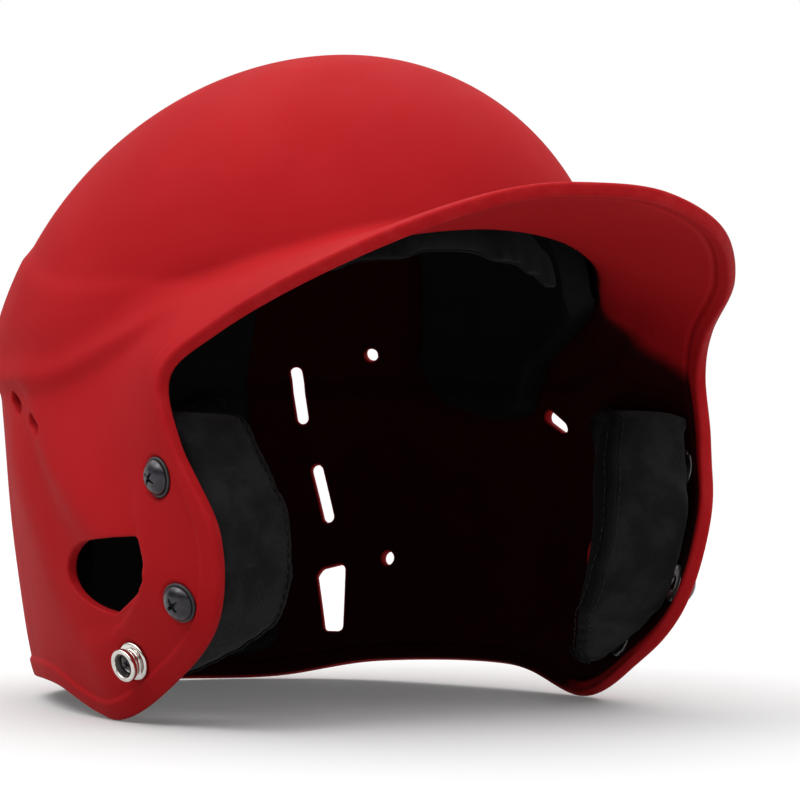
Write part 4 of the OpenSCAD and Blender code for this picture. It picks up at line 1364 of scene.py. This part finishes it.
def liner_pads():
    brow = inflate(mesh_object("brow_cushion", *brow_pad()), voxel=4.0, slim=1.0, most=1.6)
    finish_piece(brow, LINER_KNIT, node="brow_pad")
    crown_form = cap(PAD_TOP, PAD_TOP + CROWN_PAD_DEPTH, **CROWN_PAD)
    crown = inflate(mesh_object("crown_cushion", *crown_form), voxel=3.0, slim=0.8, most=1.4)
    finish_piece(crown, LINER_KNIT, node="crown_pad")
    rear_top = PAD_TOP + REAR_PAD_LIFT
    rear_form = patch(rear_top, rear_top + REAR_PAD_DEPTH, **REAR_PAD)
    rear = inflate(mesh_object("rear_cushion", *rear_form), voxel=4.0, slim=1.0, most=1.6)
    finish_piece(rear, EAR_KNIT, node="rear_pad")
    x, y = square_line(40)
    round_brow = brow_points(0.88 * x, 0.88 * y, True)
    turn = ROUND * np.arange(80) / 80
    round_crown = skin(turn, 0 * turn + 0.1, PAD_TOP + 5)[0]
    soft = REAR_PAD["soft"]
    round_rear = skin(LAST + 0.84 * x * (1 - soft * y ** 6),
                      REAR_PAD["v_mid"] + 0.1 * y * (1 - soft * x ** 6), PAD_TOP + 6)[0]
    welt = oval(1.1, 0.5, 0.1)
    for name, ob, line in (("brow", brow, round_brow), ("crown", crown, round_crown),
                           ("rear", rear, round_rear)):
        held = laid(surface_tree(ob), line, step=1.5)
        finish_piece(strip(f"{name}_cushion_welt", held, welt), BINDING)
        finish_piece(stitches(f"{name}_cushion_stitching", [(held, 1.9)]), THREAD)


finish_piece(build_shell(), RED, node="shell")
liner()
ear_cushions()
liner_pads()
hardware()


# ----------------------------------------------------- floor, light, camera
CEILING, REAR_WALL, DIM_WALL = 3.0, 0.6, 0.07  # strength of the light from each part of the room
REAR_SIDE = (0.52, 0.854, 0)  # the way towards the brighter wall
LAMPS = [("key", (-1.3, -0.15, 1.8), 1.0, 15), ("fill", (0.9, -1.6, 0.7), 1.0, 1.0)]
LAMP_AIM = 0.1  # height of the point that the lamps look at
FLOOR_HALF, FLOOR_GLOW = 6.0, 0.11


def floor():
    """Pale floor with a faint glow of its own, which keeps the shadow open."""
    me = bpy.data.meshes.new("floor")
    corners = [(x * FLOOR_HALF, y * FLOOR_HALF, 0) for x, y in ((-1, -1), (1, -1), (1, 1), (-1, 1))]
    me.from_pydata(corners, [], [(0, 1, 2, 3)])
    ob = add_object("floor", me)
    m, t, s, at = graph("pale_floor")
    tone = blend_colour(t, noise(t, at, 3, 3), (0.43, 0.43, 0.43), (0.45, 0.45, 0.45))
    feed(t, s, {"Base Color": tone, "Emission Color": (1, 1, 1, 1), "Emission Strength": FLOOR_GLOW,
                "Roughness": 0.7, "Specular IOR Level": 0.1})
    me.materials.append(m)


def room():
    """World light by direction: bright ceiling and horizon, walls brighter towards the rear side."""
    world = bpy.data.worlds.new("studio")
    bpy.context.scene.world = world
    world.use_nodes = True
    w = world.node_tree
    way = w.nodes.new("ShaderNodeTexCoord").outputs["Generated"]
    up = made(w, "ShaderNodeSeparateXYZ", {0: way}).outputs["Z"]
    toward = made(w, "ShaderNodeVectorMath", {0: way, 1: REAR_SIDE})
    toward.operation = "DOT_PRODUCT"
    high = span(w, up, 0.45, 0.75)
    level = span(w, up, 0.11, 0.22, 1, 0)
    walls = span(w, toward.outputs["Value"], 0.0, 0.6, DIM_WALL, REAR_WALL)
    soft = plus(w, times(w, high, CEILING), times(w, minus(w, 1.0, high), walls))
    above = times(w, minus(w, 1.0, level), soft)
    feed(w, w.nodes["Background"], {"Color": (1, 1, 1, 1), "Strength": plus(w, level, above)})


def aim(ob, way):
    """Turns a lamp or the camera to look along a direction."""
    ob.rotation_euler = way.to_track_quat("-Z", "Y").to_euler()


def lamps():
    for name, place, size, power in LAMPS:
        lamp = bpy.data.lights.new(name, "AREA")
        lamp.energy, lamp.size = power, size
        ob = add_object(name, lamp)
        ob.location = place
        aim(ob, Vector((0, 0, LAMP_AIM)) - ob.location)


def camera():
    turn, far, high = math.radians(30.5), 1.24, 0.104
    yaw, pitch = math.radians(0.86), math.radians(-0.08)
    cam = bpy.data.cameras.new("camera")
    cam.lens, cam.sensor_width = 166.05, 36
    ob = add_object("camera", cam)
    ob.location = (-far * math.sin(turn), -far * math.cos(turn) + SHIFT[1] * MM, high + SHIFT[2] * MM)
    look = Vector((math.sin(turn + yaw) * math.cos(pitch), math.cos(turn + yaw) * math.cos(pitch),
                   math.sin(pitch)))
    aim(ob, look)
    bpy.context.scene.camera = ob


floor()
room()
lamps()
camera()
bpy.context.scene.view_settings.view_transform = "Standard"
